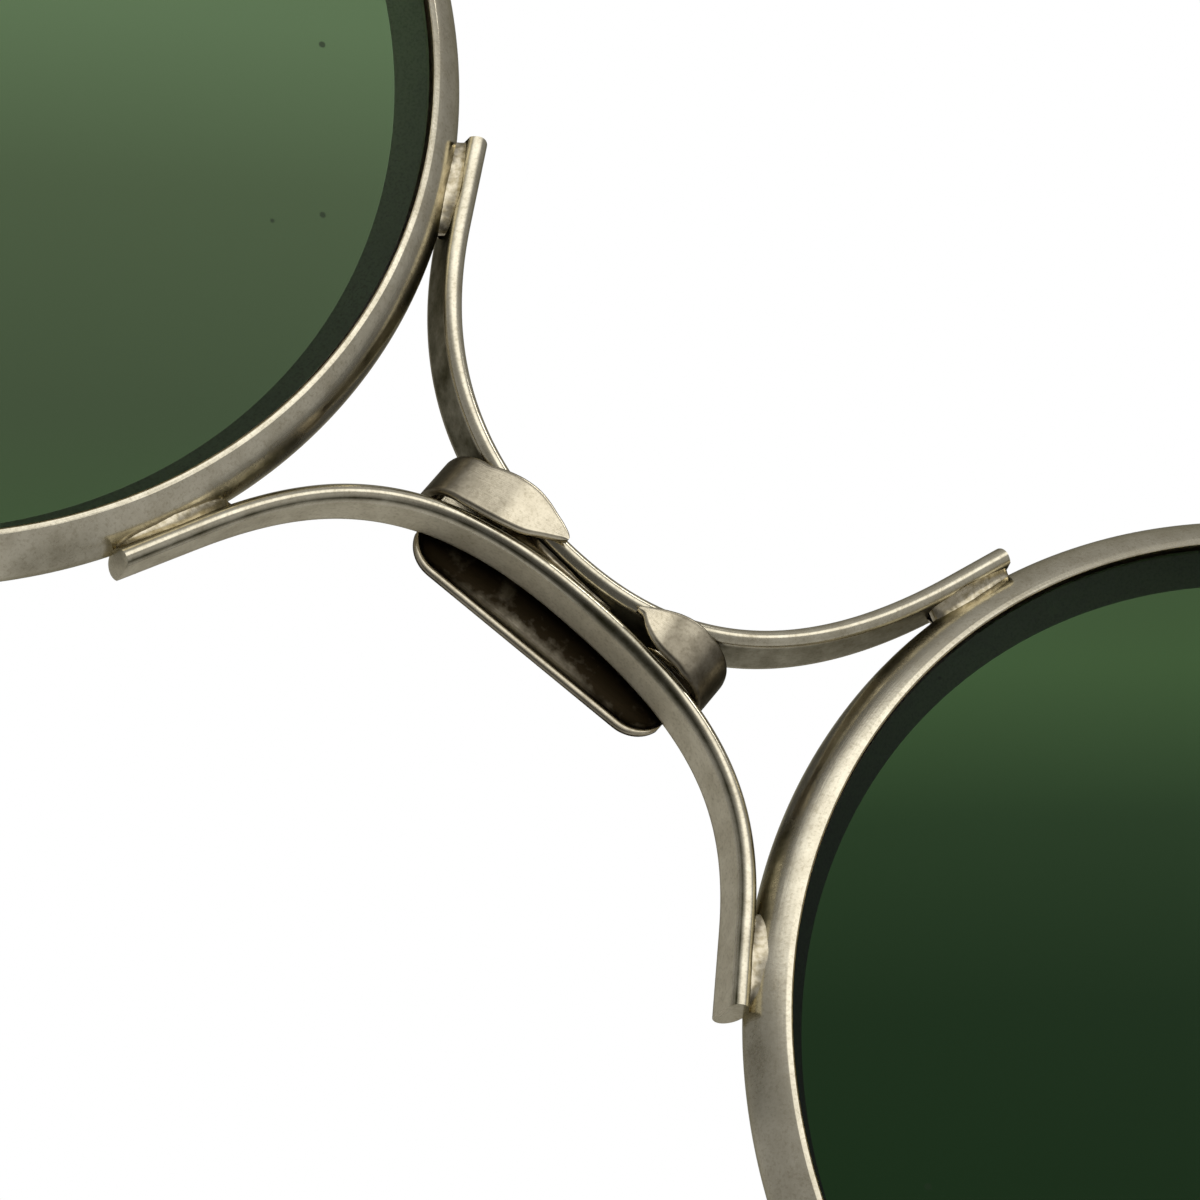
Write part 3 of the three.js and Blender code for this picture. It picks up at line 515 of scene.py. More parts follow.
def sweep_tree():
    """Carries a section along a flat path, and lays a UV map in millimetres over the skin."""
    tree, given = start_tree("sweep_section", {
        "Path": "Geometry", "Section": "Object", "Plane normal": "Vector", "Turn at start": "Float",
        "Turn at end": "Float", "Finish": "Material",
    }, "Skin")
    forward = add(tree, "GeometryNodeInputTangent")
    run = add(tree, "GeometryNodeSplineParameter").outputs
    turn = add(tree, "ShaderNodeMix", {
        0: run["Factor"], 2: given["Turn at start"], 3: given["Turn at end"],
    }, data_type="FLOAT")
    twisted = add(tree, "ShaderNodeVectorRotate", {
        "Vector": given["Plane normal"], "Axis": forward, "Angle": turn,
    }, rotation_type="AXIS_ANGLE")
    upright = add(tree, "GeometryNodeSetCurveNormal", {"Curve": given["Path"], "Normal": twisted}, mode="FREE")
    section = add(tree, "GeometryNodeObjectInfo", {"Object": given["Section"]})
    along = add(tree, "GeometryNodeCaptureAttribute", domain="POINT")
    around = add(tree, "GeometryNodeCaptureAttribute", domain="POINT")
    for measure, curve in ((along, upright.outputs["Curve"]), (around, section.outputs["Geometry"])):
        measure.capture_items.new("FLOAT", "Length")
        tree.links.new(curve, measure.inputs["Geometry"])
        tree.links.new(run["Length"], measure.inputs["Length"])
    skin = add(tree, "GeometryNodeCurveToMesh", {"Curve": along, "Profile Curve": around, "Fill Caps": True})
    spot = add(tree, "ShaderNodeCombineXYZ", {"X": along.outputs["Length"], "Y": around.outputs["Length"]})
    scaled = add(tree, "ShaderNodeVectorMath", {0: spot, "Scale": 1 / MM}, operation="SCALE")
    mapped = add(tree, "GeometryNodeStoreNamedAttribute", {
        "Geometry": skin, "Name": "UVMap", "Value": scaled,
    }, data_type="FLOAT2", domain="CORNER")
    return end_tree(tree, mapped, given["Finish"])


def screw_tree():
    """Slotted screws: a head and a shank on each point, turned to the point's axis."""
    tree, given = start_tree("slotted_screws", {
        "Seats": "Geometry", "Head radius": "Float", "Head height": "Float", "Shank radius": "Float",
        "Shank length": "Float", "Slot width": "Float", "Slot depth": "Float", "Finish": "Material",
    }, "Screws")
    head = add(tree, "GeometryNodeMeshCylinder", {
        "Vertices": 40, "Radius": given["Head radius"], "Depth": given["Head height"],
    })
    half_head = add(tree, "ShaderNodeMath", {0: given["Head height"], 1: 0.5}, operation="MULTIPLY")
    head_rise = add(tree, "ShaderNodeCombineXYZ", {"Z": half_head})
    head_at = add(tree, "GeometryNodeTransform", {"Geometry": head, "Translation": head_rise})
    # The slot is cut by a bar that is longer than the head and twice as deep as the slot
    wide = add(tree, "ShaderNodeMath", {0: given["Head radius"], 1: 4.0}, operation="MULTIPLY")
    deep = add(tree, "ShaderNodeMath", {0: given["Slot depth"], 1: 2.0}, operation="MULTIPLY")
    slot_size = add(tree, "ShaderNodeCombineXYZ", {"X": wide, "Y": given["Slot width"], "Z": deep})
    slot = add(tree, "GeometryNodeMeshCube", {"Size": slot_size})
    slot_rise = add(tree, "ShaderNodeCombineXYZ", {"Z": given["Head height"]})
    slot_at = add(tree, "GeometryNodeTransform", {"Geometry": slot, "Translation": slot_rise})
    slotted = add(tree, "GeometryNodeMeshBoolean", {"Mesh 1": head_at, "Mesh 2": slot_at}, operation="DIFFERENCE")
    shank = add(tree, "GeometryNodeMeshCylinder", {
        "Vertices": 32, "Radius": given["Shank radius"], "Depth": given["Shank length"],
    })
    half_shank = add(tree, "ShaderNodeMath", {0: given["Shank length"], 1: -0.5}, operation="MULTIPLY")
    shank_drop = add(tree, "ShaderNodeCombineXYZ", {"Z": half_shank})
    shank_at = add(tree, "GeometryNodeTransform", {"Geometry": shank, "Translation": shank_drop})
    screw = add(tree, "GeometryNodeJoinGeometry")
    for part in (slotted, shank_at):
        tree.links.new(part.outputs[0], screw.inputs["Geometry"])
    axis = add(tree, "GeometryNodeInputNamedAttribute", {"Name": "axis"}, data_type="FLOAT_VECTOR")
    turn = add(tree, "FunctionNodeAlignRotationToVector", {"Vector": axis}, axis="Z")
    seated = add(tree, "GeometryNodeInstanceOnPoints", {
        "Points": given["Seats"], "Instance": screw, "Rotation": turn,
    })
    return end_tree(tree, seated, given["Finish"])


def run_tree(carrier, tree, inputs):
    """Runs a node tree on an object with named inputs, and gives the plain mesh that it makes."""
    modifier = carrier.modifiers.new(tree.name, "NODES")
    modifier.node_group = tree
    for socket in tree.interface.items_tree:
        if socket.in_out == "INPUT" and socket.name in inputs:
            modifier[socket.identifier] = inputs[socket.name]
    view = bpy.context.evaluated_depsgraph_get()
    mesh = bpy.data.meshes.new_from_object(carrier.evaluated_get(view))
    bpy.data.objects.remove(carrier)
    return mesh


def curve_of(name, points, cyclic):
    """A curve object through points in metres."""
    curve = bpy.data.curves.new(name, "CURVE")
    curve.dimensions = "3D"
    spline = curve.splines.new("POLY")
    spline.points.add(len(points) - 1)
    spline.points.foreach_set("co", np.column_stack([points, np.ones(len(points))]).ravel())
    spline.use_cyclic_u = cyclic
    return in_scene(name, curve)


def swept(name, path, section, turns=(0.0, 0.0)):
    """A drawn piece of one section all along an upright path, both in millimetres."""
    carrier = curve_of(name + "_path", placed(path), False)
    outline = curve_of(name + "_section", np.column_stack([section, np.zeros(len(section))]) * MM, True)
    mesh = run_tree(carrier, SWEEP, {
        "Section": outline, "Plane normal": (0.0, 1.0, 0.0), "Turn at start": turns[0], "Turn at end": turns[1],
        "Finish": DRAWN_WIRE,
    })
    bpy.data.objects.remove(outline)
    mesh.name = name
    mesh.attributes.new("tarnish_and_shade", "FLOAT", "POINT")
    return finish_mesh(mesh)


def screws(name, seats, axis, shank_radius, shank_length):
    """Screws on their seats, all turned one way."""
    mesh = bpy.data.meshes.new(name + "_seats")
    mesh.from_pydata(placed(seats).tolist(), [], [])
    layer = mesh.attributes.new("axis", "FLOAT_VECTOR", "POINT")
    layer.data.foreach_set("vector", list(axis) * len(seats))
    shank = {"Shank radius": shank_radius * MM, "Shank length": shank_length * MM}
    return finish_mesh(run_tree(in_scene(name + "_seats", mesh), SCREWS, {**SCREW_SIZES, **shank, "Finish": STEEL}))


# Rims and lenses

def rim_outside(count=24):
    """The rim's outside as (y, height above the lips), from the front lip to the middle: a narrow flat lip,
    then a low round back."""
    shoulder = np.array([0.06, RIM_LIP + 0.05])
    lean = shoulder + 0.5 * np.array([math.cos(RIM_SHOULDER), math.sin(RIM_SHOULDER)])
    crest = np.array([RIM_MID_Y, RIM_LIP + RIM_HEIGHT])
    return bezier(shoulder, lean, crest - (0.62, 0.0), crest, count)


def rim_section():
    """Section of the rim as (y, height above the lips): a round back, two lips and a groove for the lens."""
    lip = [(0.003, 0.06 - RIM_LIP_ROLL), (0.034, RIM_LIP), (0.037, RIM_LIP + 0.01)]
    front = np.concatenate([lip, rim_outside()])
    back = front[-2::-1] * (-1, 1) + (RIM_DEPTH, 0)
    rolled, groove = -RIM_LIP_ROLL, GROOVE_WIDTH / 2
    inside = rounded([
        (RIM_DEPTH, rolled), (RIM_MID_Y + groove, rolled), (RIM_MID_Y, GROOVE_DEPTH),
        (RIM_MID_Y - groove, rolled), (0.0, rolled),
    ], 0.05)
    return np.concatenate([front, back, inside])


def rim(side):
    """A round rim, split on its outer side and tarnished round the wires' joints."""
    half_split = math.asin(RIM_SPLIT / 2 / RIM_INNER_RADIUS)
    first = 0.0 if side == LEFT else math.pi
    turn = first - np.linspace(half_split, 2 * math.pi - half_split, 361)
    path = np.column_stack([
        side * LENS_X + RIM_INNER_RADIUS * np.cos(turn), np.zeros(len(turn)), RIM_INNER_RADIUS * np.sin(turn),
    ])
    mesh = swept("rim", path, rim_section())
    skin_radius, skin_y = RIM_OUTER_RADIUS - 0.1, 0.8
    throats = np.concatenate([
        on_rim(side, joint_line(shape, side)[0] + shape["up"] * np.linspace(-0.15, 0.015, 24), skin_radius, skin_y)
        for shape in (UPPER_WIRE, LOWER_WIRE)
    ])
    # The rim is browner just below the lower wire's end
    below = joint_line(LOWER_WIRE, side)[-1] - np.linspace(0.03, 0.15, 24)
    browned_below = on_rim(side, below, skin_radius, skin_y)
    joints = joint_points(side)
    stain(mesh, lambda p: 0.25 * near(p, joints, 0.3) + 0.8 * near(p, throats, 0.5) + 0.33 * near(p, browned_below, 1.0))
    return mesh


def lens_face(edge_radius, edge_y):
    """A lens's curved face as (radius, y), from its middle out to its edge."""
    sphere = (edge_radius ** 2 + LENS_BULGE ** 2) / (2 * LENS_BULGE)
    turn = np.linspace(0.001, math.asin(edge_radius / sphere), 26)
    return np.column_stack([sphere * np.sin(turn), edge_y - LENS_BULGE + sphere * (1 - np.cos(turn))])


def lens(side):
    """A lens with polished faces and a ground edge."""
    edge = RIM_INNER_RADIUS - LENS_CLEARANCE
    apex = RIM_INNER_RADIUS + GROOVE_DEPTH - LENS_CLEARANCE * 2
    bevel = GROOVE_WIDTH / 2 - LENS_CLEARANCE
    front = lens_face(edge, LENS_SETBACK)
    rear = lens_face(edge - LENS_CHAMFER, LENS_SETBACK + LENS_EDGE)[::-1]
    rim_side = np.array([(edge, RIM_MID_Y - bevel), (apex, RIM_MID_Y), (edge, RIM_MID_Y + bevel)])
    profile = np.concatenate([front, rim_side, rear])
    turn = np.linspace(0.0, 2 * math.pi, 192, endpoint=False)
    drop = np.repeat([0.0, REAR_FACE_DROP], [len(front) + len(rim_side), len(rear)])
    rings = [
        np.column_stack([side * LENS_X + r * np.cos(turn), np.full(len(turn), y), r * np.sin(turn) - d])
        for (r, y), d in zip(profile, drop)
    ]
    polished, ground = 0, 1
    row_finish = np.repeat([polished, ground, polished], [len(front) - 1, len(rim_side) + 1, len(rear) - 1])
    return loft("lens", rings, [GLASS, GROUND], row_finish, sharp=20.0)


# Bridge

def wire_half(wire, side):
    """Half of a wire's run in (x, z), from the middle of the bridge to its end on the rim."""
    angle, up, seat = wire["angle"], wire["up"], wire["seat"]
    along = np.array([side * math.sin(angle), up * math.cos(angle)])
    touch = np.array([side * (LENS_X - seat * math.cos(angle)), up * seat * math.sin(angle)])
    leave = touch - along * wire["free"]
    handle = np.array([side * wire["level"], wire["middle"] - side * BRIDGE_LEAN * wire["level"]])
    curve = bezier(np.array([0.0, wire["middle"]]), handle, leave - along * wire["pull"], leave, 90)
    end = np.linspace(leave, touch + along * wire["tail"][side], 24)
    return np.concatenate([curve[:-1], end])


def wire_path(wire):
    """A wire's whole run, from its right end to its left."""
    flat = np.concatenate([wire_half(wire, RIGHT)[:0:-1], wire_half(wire, LEFT)])
    return np.column_stack([flat[:, 0], np.full(len(flat), WIRE_MID_Y), flat[:, 1]])


def wire_section():
    """More than half of an oval, flat below with crisp corners, as (y, height)."""
    drop = math.asin(WIRE_BELLY / (WIRE_HEIGHT - WIRE_BELLY))
    turn = np.linspace(-drop, math.pi + drop, WIRE_OVAL + 1)
    oval = np.column_stack([WIRE_WIDTH / 2 * np.cos(turn), WIRE_BELLY + (WIRE_HEIGHT - WIRE_BELLY) * np.sin(turn)])
    flat = np.linspace(oval[-1], oval[0], 12)[1:-1]
    return np.concatenate([oval, flat])


def crown(reach):
    """Height of the wire's round side above its flat, by distance from its middle line."""
    return WIRE_BELLY + (WIRE_HEIGHT - WIRE_BELLY) * math.sqrt(max(1 - (reach / (WIRE_WIDTH / 2)) ** 2, 0.0))


def wire(name, shape):
    """A bridge wire, tarnished where it meets the other pieces, with tarnish and painted shade on its flat and a
    painted dark reflection along its flat's front corner.
    """
    mesh = swept(name, wire_path(shape), wire_section(), (-shape["turn"][RIGHT], -shape["turn"][LEFT]))
    middle = [(x, 0.75, SADDLE_Z - BRIDGE_LEAN * x) for x in np.linspace(-4.0, 4.5, 30)]
    ends = np.concatenate([joint_points(RIGHT), joint_points(LEFT)])
    # Points run round the section in turn: first the oval, from back to front, then the flat
    place = np.arange(len(mesh.vertices)) % len(wire_section())
    flat = np.where(place > WIRE_OVAL, 1.0, 0.0)

    def tarnish_and_shade(p):
        """How brown the wire is, by tarnish and by painted shade, at points in millimetres."""
        x = p[:, 0]
        # Tarnish and painted shade on the flat, heaviest on the upper wire and lighter towards the wearer's left
        under = shape["flat_shade_and_tarnish"] * (1 - 0.35 * np.clip(x / 8.0, 0, 1))
        # The painted dark reflection along the flat's corner is widest left of the middle
        wide = 1.1 + 3.2 * np.exp(-((x - 3.2) / 2.6) ** 2)
        corner = shape["corner_painted_shade"] * np.exp(-((place - WIRE_OVAL + 2) / wide) ** 2)
        return 0.3 * near(p, middle, 0.22) + 0.55 * near(p, ends, 0.3) + under * flat + corner * (1 - flat)

    stain(mesh, tarnish_and_shade)
    stain(mesh, lambda p: (1 - shape["flat_shade_and_tarnish"]) * flat, "filed")
    return mesh


def joint_line(shape, side):
    """Where a wire meets the rim, from the open end of the gap to the wire's own end, as angles up from the nose."""
    first = shape["angle"] - shape["run"][side] / shape["seat"]
    last = shape["angle"] + shape["tail"][side] / shape["seat"]
    return np.linspace(first, last, 40) * shape["up"]


def on_rim(side, turn, radius, y):
    """Points round a rim, by angle up from the nose."""
    return np.column_stack([side * (LENS_X - radius * np.cos(turn)), np.full(len(turn), y), radius * np.sin(turn)])


def joint_points(side):
    """Points along both wires' joints with a rim."""
    return np.concatenate([
        on_rim(side, joint_line(shape, side), RIM_OUTER_RADIUS + 0.05, shape["joint_y"])
        for shape in (UPPER_WIRE, LOWER_WIRE)
    ])


def rim_skin(share):
    """A point on the rim's outside in (radius, y), by its share of the way from the front lip to the middle."""
    y, height = rim_outside(101)[int(round(share * 100))]
    return np.array([RIM_INNER_RADIUS + height, y])


def wire_skin(shape, side, seat, face, reach):
    """A point on the side of the wire that faces the rim, in (radius, y), by its distance from the wire's middle
    line; face is 1 for the front and -1 for the back."""
    turn, out = shape["turn"][side], face * reach
    across, deep = out * math.sin(turn), WIRE_MID_Y - out * math.cos(turn)
    if shape["up"] > 0:
        return np.array([seat + across, deep])
    rise = crown(reach)
    return np.array([seat - across - rise * math.cos(turn), deep + rise * math.sin(turn)])


def uneven(seed, count):
    """A slow wander about 0, as solder run by hand has."""
    draws = np.random.RandomState(seed).randn(count + 24)
    return np.convolve(draws, np.hanning(15) / 7, "same")[12:-12]


def solder_seam(shape, side):
    """Solder drawn into the groove between a rim and a wire, on the front and the back."""
    turn = joint_line(shape, side)
    path = wire_path(shape)
    path = path[side * path[:, 0] > 6.0]
    along, beside = LENS_X - side * path[:, 0], path[:, 2]
    angle = np.arctan2(beside * shape["up"], along)
    order = np.argsort(angle)
    seats = np.interp(turn * shape["up"], angle[order], np.hypot(along, beside)[order])
    taper = np.sin(np.linspace(0.0, math.pi, len(turn))) ** 0.4
    fill = np.clip(0.92 + 0.1 * uneven(shape["seed"], len(turn)), 0.7, 1.0) * taper
    strips = []
    for face in (1, -1):
        rings = []
        heel = (RIM_OUTER_RADIUS + 0.02, RIM_MID_Y - 0.05 * face)
        for full, a, seat in zip(fill, turn, seats):
            low = rim_skin(0.92 - shape["spread"][side] * full)
            if face < 0:
                low[1] = RIM_DEPTH - low[1]
            low = low + (-0.03, 0.015 * face)
            high = wire_skin(shape, side, seat, face, 0.25 + 0.73 * full) + (0.02, 0.03 * face)
            heart = (low + high) / 2 + (0.0, 0.17 * full * face)
            radius, y = np.vstack([arc(low, heart, high, 9), heel]).T
            rings.append(np.column_stack([side * (LENS_X - radius * math.cos(a)), y, radius * math.sin(a)]))
        strips.append(loft("solder", rings, [SOLDER], sharp=60.0))
    seam = together("solder", strips)
    throat = on_rim(side, turn[:9], RIM_OUTER_RADIUS, 0.6)
    stain(seam, lambda p: 0.6 * near(p, throat, 0.3))
    return seam


def middle_seam():
    """Solder between the two wires, in the middle of the bridge, on the front and the back."""
    x = np.linspace(-3.4, 1.6, 60)
    paths = (wire_path(UPPER_WIRE), wire_path(LOWER_WIRE))
    roof, base = (np.interp(x, path[:, 0], path[:, 2]) for path in paths)
    taper = np.sin(np.linspace(0.0, math.pi, len(x)) ** 0.75 * math.pi ** 0.25)
    fill = np.clip(0.7 + 0.15 * uneven(MIDDLE_SEED, len(x)), 0.45, 0.95) * taper
    strips = []
    for face in (1, -1):
        rings = []
        for place, top, floor, full in zip(x, roof, base, fill):
            reach = 0.3 + 0.5 * full
            low = np.array([WIRE_MID_Y - reach - 0.015, floor + crown(reach) + 0.01])
            high = np.array([WIRE_MID_Y - reach - 0.05 * full, top - 0.01])
            heart = (low + high) / 2 + (0.16 * full, 0.0)
            heel = (WIRE_MID_Y - 0.1, (top + floor + WIRE_HEIGHT) / 2)
            section = np.vstack([arc(low, heart, high, 9), heel])
            if face < 0:
                section[:, 0] = 2 * WIRE_MID_Y - section[:, 0]
            rings.append(np.column_stack([np.full(len(section), place), section]))
        strips.append(loft("solder", rings, [SOLDER], sharp=60.0))
    seam = together("solder", strips)
    stain(seam, lambda p: np.full(len(p), 0.35))
    return seam


def tab_line(tip_x, count):
    """A tab's middle line seen from above, from its point to its fold."""
    x = np.linspace(tip_x, TAB_FOLD_X, count)
    bow = TAB_BOW * np.clip((x - TAB_BOW_X) / (TAB_FOLD_X - TAB_BOW_X), 0.0, 1.0) ** 2
    return np.column_stack([x, SADDLE_FRONT_Y + bow])


def saddle_plan():
    """The strap's middle line seen from above, from the right tab's point round the back to the left tab's, and
    how many of its points lie on each tab."""
    quarter = np.linspace(0.0, math.pi / 2, 22)
    start = np.array([TAB_FOLD_X, SADDLE_FRONT_Y + TAB_BOW])
    end = np.array([STRAP_HALF_WIDTH, FOLD_END_Y])
    lead = np.array([1.0, 2 * TAB_BOW / (TAB_FOLD_X - TAB_BOW_X)])
    fold = bezier(start, start + 0.55 * lead, end - (0.0, 1.05), end, 22)
    rest_x, rest_y = STRAP_HALF_WIDTH - LIP_HALF_WIDTH, SADDLE_BACK_Y - FOLD_END_Y
    heel = np.column_stack([
        STRAP_HALF_WIDTH - rest_x * (1 - np.cos(quarter)), FOLD_END_Y + rest_y * np.sin(quarter),
    ])
    # Points are closest where the lip's corners turn
    flat_x = np.concatenate([
        [LIP_HALF_WIDTH - 0.03, LIP_HALF_WIDTH - 0.06],
        LIP_HALF_WIDTH - 0.06 - (LIP_CORNER - 0.06) * (1 - np.cos(np.linspace(0.15, math.pi / 2, 15))),
        np.linspace(LIP_HALF_WIDTH - LIP_CORNER, 0.0, 16)[1:],
    ])
    flat = np.column_stack([flat_x, np.full(len(flat_x), SADDLE_BACK_Y)])
    right_tab, left_tab = tab_line(RIGHT_TIP_X, 44)[:-1], tab_line(LEFT_TIP_X, 36)[:-1]
    right = np.concatenate([right_tab, fold, heel[1:], flat]) * (RIGHT, 1)
    left = np.concatenate([left_tab, fold, heel[1:], flat])
    return np.concatenate([right, left[-2::-1]]), len(right_tab), len(left_tab)


def sheet_section(deep):
    """Outline of the sheet's edge-on section as (across, down from its top), with softened corners."""
    soft = min(0.15, deep * 0.3)
    half = SHEET / 2
    quarter = np.linspace(0.0, math.pi / 2, 4)
    side = np.linspace(soft, deep - soft, 18)[1:-1]

    def corner(across, down, start):
        """A quarter turn about a middle."""
        return np.column_stack([across + soft * np.cos(start + quarter), down + soft * np.sin(start + quarter)])

    return np.concatenate([
        np.column_stack([np.full(len(side), half), side]),
        corner(half - soft, deep - soft, 0.0),
        corner(soft - half, deep - soft, math.pi / 2),
        np.column_stack([np.full(len(side), -half), side[::-1]]),
        corner(soft - half, soft, math.pi),
        corner(half - soft, soft, math.pi * 1.5),
    ])


def saddle_tarnish_and_shade(p):
    """How brown the saddle is, by tarnish and by painted shade, at points in millimetres."""
    x, y, z = p.T
    level = z + SADDLE_LEAN * x - SADDLE_Z
    # Inside the lip, but for its cut edge: tarnish and a painted shadow under the wires, lifted lower down towards
    # the middle of that edge
    inside = np.clip((2.77 - y) / 0.04, 0, 1) * np.clip((y - 2.38) / 0.1, 0, 1) * (z < -1.5)
    shadow_lifted = 1.02 - 0.5 * np.clip((-1.9 - level) / 0.5, 0, 1) * np.exp(-((x + 0.2) / 3.6) ** 4)
    # Painted shade on the tabs, darkening towards their folds, heavier on the wearer's left
    out = np.abs(x)
    fold_shade = np.where(x > 0, 0.5, 0.34) * np.clip((out - 3.4) / 0.5, 0, 1) + 0.25 * np.clip((out - 4.7) / 0.8, 0, 1)
    return inside * shadow_lifted + fold_shade * (y < 2.3) * (z > -3.0) + 0.12 * (level < -2.45)


def saddle():
    """One folded sheet: a back plate with a lip rolled forward, and two pointed tabs over the wires."""
    plan, right_count, left_count = saddle_plan()
    tangent = np.gradient(plan, axis=0)
    tangent /= np.linalg.norm(tangent, axis=1)[:, None]
    outward = np.column_stack([-tangent[:, 1], tangent[:, 0]])
    if outward[len(plan) // 2][1] < 0:
        outward = -outward
    total = len(plan)
    top = np.full(total, STRAP_HALF_HEIGHT)
    length = np.full(total, STRAP_HALF_HEIGHT * 2)
    right_tab, left_tab = slice(right_count), slice(total - left_count, total)
    for tab, side, tab_top, tab_low in (
        (right_tab, RIGHT, RIGHT_TAB_TOP, RIGHT_TAB_LOW), (left_tab, LEFT, LEFT_TAB_TOP, LEFT_TAB_LOW),
    ):
        x = side * plan[tab, 0]
        top[tab] = through(*tab_top, x)
        length[tab] = top[tab] - through(*tab_low, x)
    # Folds run from the tabs' edges to the back plate's
    ease = 0.5 - 0.5 * np.cos(np.linspace(0.0, math.pi, FOLD_STEPS))
    for first, step in ((right_count, 1), (total - 1 - left_count, -1)):
        places = first + step * np.arange(FOLD_STEPS)
        edge = first - step
        top[places] = top[edge] + (STRAP_HALF_HEIGHT - top[edge]) * ease
        low = (top[edge] - length[edge]) * (1 - ease) - STRAP_HALF_HEIGHT * ease
        length[places] = top[places] - low
    # The lip hangs from the back plate between its rounded corners
    out = np.abs(plan[:, 0])
    behind = np.isclose(plan[:, 1], SADDLE_BACK_Y) & (out < LIP_HALF_WIDTH - 0.04)
    reach = np.clip(out - (LIP_HALF_WIDTH - LIP_CORNER), 0.0, LIP_CORNER)
    cut = LIP_CORNER - np.sqrt(np.clip(LIP_CORNER ** 2 - reach ** 2, 0.0, None))
    length = np.where(behind, STRAP_HALF_HEIGHT + LIP_START + LIP_ROLL_LENGTH - cut, length)
    lean = math.atan(SADDLE_LEAN)
    rings = []
    for spot, away, high, deep, short in zip(plan, outward, top, length, cut):
        across, down = sheet_section(deep).T
        if deep > STRAP_HALF_HEIGHT * 2 + 0.6:
            # The lip thins towards its edge
            across = across * (1 - 0.1 * np.clip((down - deep + 1.3) / 1.0, 0.0, 1.0))
        straight = high + LIP_START - short
        turn = np.clip(down - straight, 0.0, None) / LIP_ROLL
        shift = -LIP_ROLL * (1 - np.cos(turn)) + across * np.cos(turn)
        z = high - np.minimum(down, straight) - LIP_ROLL * np.sin(turn) - across * np.sin(turn)
        x, y = spot[0] + away[0] * shift, spot[1] + away[1] * shift
        rings.append(np.column_stack([
            x * math.cos(lean) + z * math.sin(lean), y, SADDLE_Z - x * math.sin(lean) + z * math.cos(lean),
        ]))
    mesh = loft("saddle", rings, [ROLLED_SHEET], sharp=50.0)
    stain(mesh, saddle_tarnish_and_shade)
    return mesh


# Endpieces and hinges

def block(name, side, x, y, z, radius):
    """A block between two corners with its long edges and ends rounded; x is measured outwards."""
    start, end = sorted(side * place for place in x)
    outline = rounded([(y[0], z[0]), (y[1], z[0]), (y[1], z[1]), (y[0], z[1])], radius)
    middle = np.array([(y[0] + y[1]) / 2, (z[0] + z[1]) / 2])
    small = 1 - 2 * radius / min(y[1] - y[0], z[1] - z[0])
    quarter = np.linspace(math.pi / 2, 0.0, 5)
    inset = radius * (1 - np.sin(quarter))
    places = np.concatenate([start + inset, end - inset[::-1]])
    sizes = small + (1 - small) * np.cos(np.concatenate([quarter, quarter[::-1]]))
    rings = [
        np.column_stack([np.full(len(outline), place), middle + (outline - middle) * size])
        for place, size in zip(places, sizes)
    ]
    return loft(name, rings, [DRAWN_WIRE])


def knuckle(side, z0, z1):
    """An upright round bar on the hinge's line, with softened ends."""
    turn = np.linspace(0.0, 2 * math.pi, 40, endpoint=False)
    slight = KNUCKLE_END * 0.3
    profile = (
        (KNUCKLE_END, z0), (slight, z0 + slight), (0.0, z0 + KNUCKLE_END),
        (0.0, z1 - KNUCKLE_END), (slight, z1 - slight), (KNUCKLE_END, z1),
    )
    rings = []
    for less, z in profile:
        radius = KNUCKLE_RADIUS - less
        rings.append(np.column_stack([
            side * HINGE_X + radius * np.cos(turn), HINGE_Y + radius * np.sin(turn), np.full(len(turn), z),
        ]))
    return loft("knuckle", rings, [DRAWN_WIRE])


def endpiece(side):
    """The upper half of the rim's closing joint, which carries the hinge."""
    return block("endpiece", side, (BLOCK_START_X, ENDPIECE_END_X), BLOCK_Y, (BLOCK_LOW, BLOCK_HIGH), BLOCK_EDGE)


def closing_block(side):
    """The lower half of the rim's closing joint."""
    x = (BLOCK_START_X, CLOSING_BLOCK_END_X)
    return block("closing_block", side, x, BLOCK_Y, (-BLOCK_HIGH, -BLOCK_LOW), BLOCK_EDGE)


def front_hinge(side):
    """Two knuckles on a leaf, each with a web to it."""
    low, high = HINGE_Z - HINGE_HALF_HEIGHT, HINGE_Z + HINGE_HALF_HEIGHT
    leaf_x = (HINGE_X - KNUCKLE_RADIUS, HINGE_X + KNUCKLE_RADIUS)
    web_x = (HINGE_X - WEB_HALF_WIDTH, HINGE_X + WEB_HALF_WIDTH)
    pieces = [block("leaf", side, leaf_x, LEAF_Y, (low + LEAF_INSET, high - LEAF_INSET), LEAF_EDGE)]
    for z0, z1 in ((low, HINGE_Z - FRONT_KNUCKLE_START), (HINGE_Z + FRONT_KNUCKLE_START, high)):
        pieces.append(knuckle(side, z0, z1))
        web_z = (z0 + WEB_EDGE, z1 - WEB_EDGE)
        pieces.append(block("web", side, web_x, (WEB_START_Y, HINGE_Y), web_z, WEB_EDGE))
    return together("front_hinge", pieces)


def temple_hinge(side):
    """One knuckle between the front's two, on a leaf along the arm."""
    low, high = HINGE_Z - TEMPLE_KNUCKLE_HALF, HINGE_Z + TEMPLE_KNUCKLE_HALF
    face = ARM_MID_X - ARM_HALF_WIDTH - LEAF_GAP
    return together("temple_hinge", [
        knuckle(side, low, high),
        block(
            "leaf", side, (face - LEAF_THICKNESS, face), (HINGE_Y, HINGE_Y + LEAF_LENGTH), (low, high), LEAF_EDGE,
        ),
    ])


# Temples

def temple_at(distance):
    """Place and slope of the temple's line, by distance past the start of the ear bend."""
    turn = np.clip(distance / EAR_RADIUS, 0.0, EAR_TURN)
    past = max(distance - EAR_LENGTH, 0.0)
    before = min(distance, 0.0)
    y = EAR_BEND_Y + before + EAR_RADIUS * math.sin(turn) + past * math.cos(turn)
    z = HINGE_Z - EAR_RADIUS * (1 - math.cos(turn)) - past * math.sin(turn)
    return y, z, turn


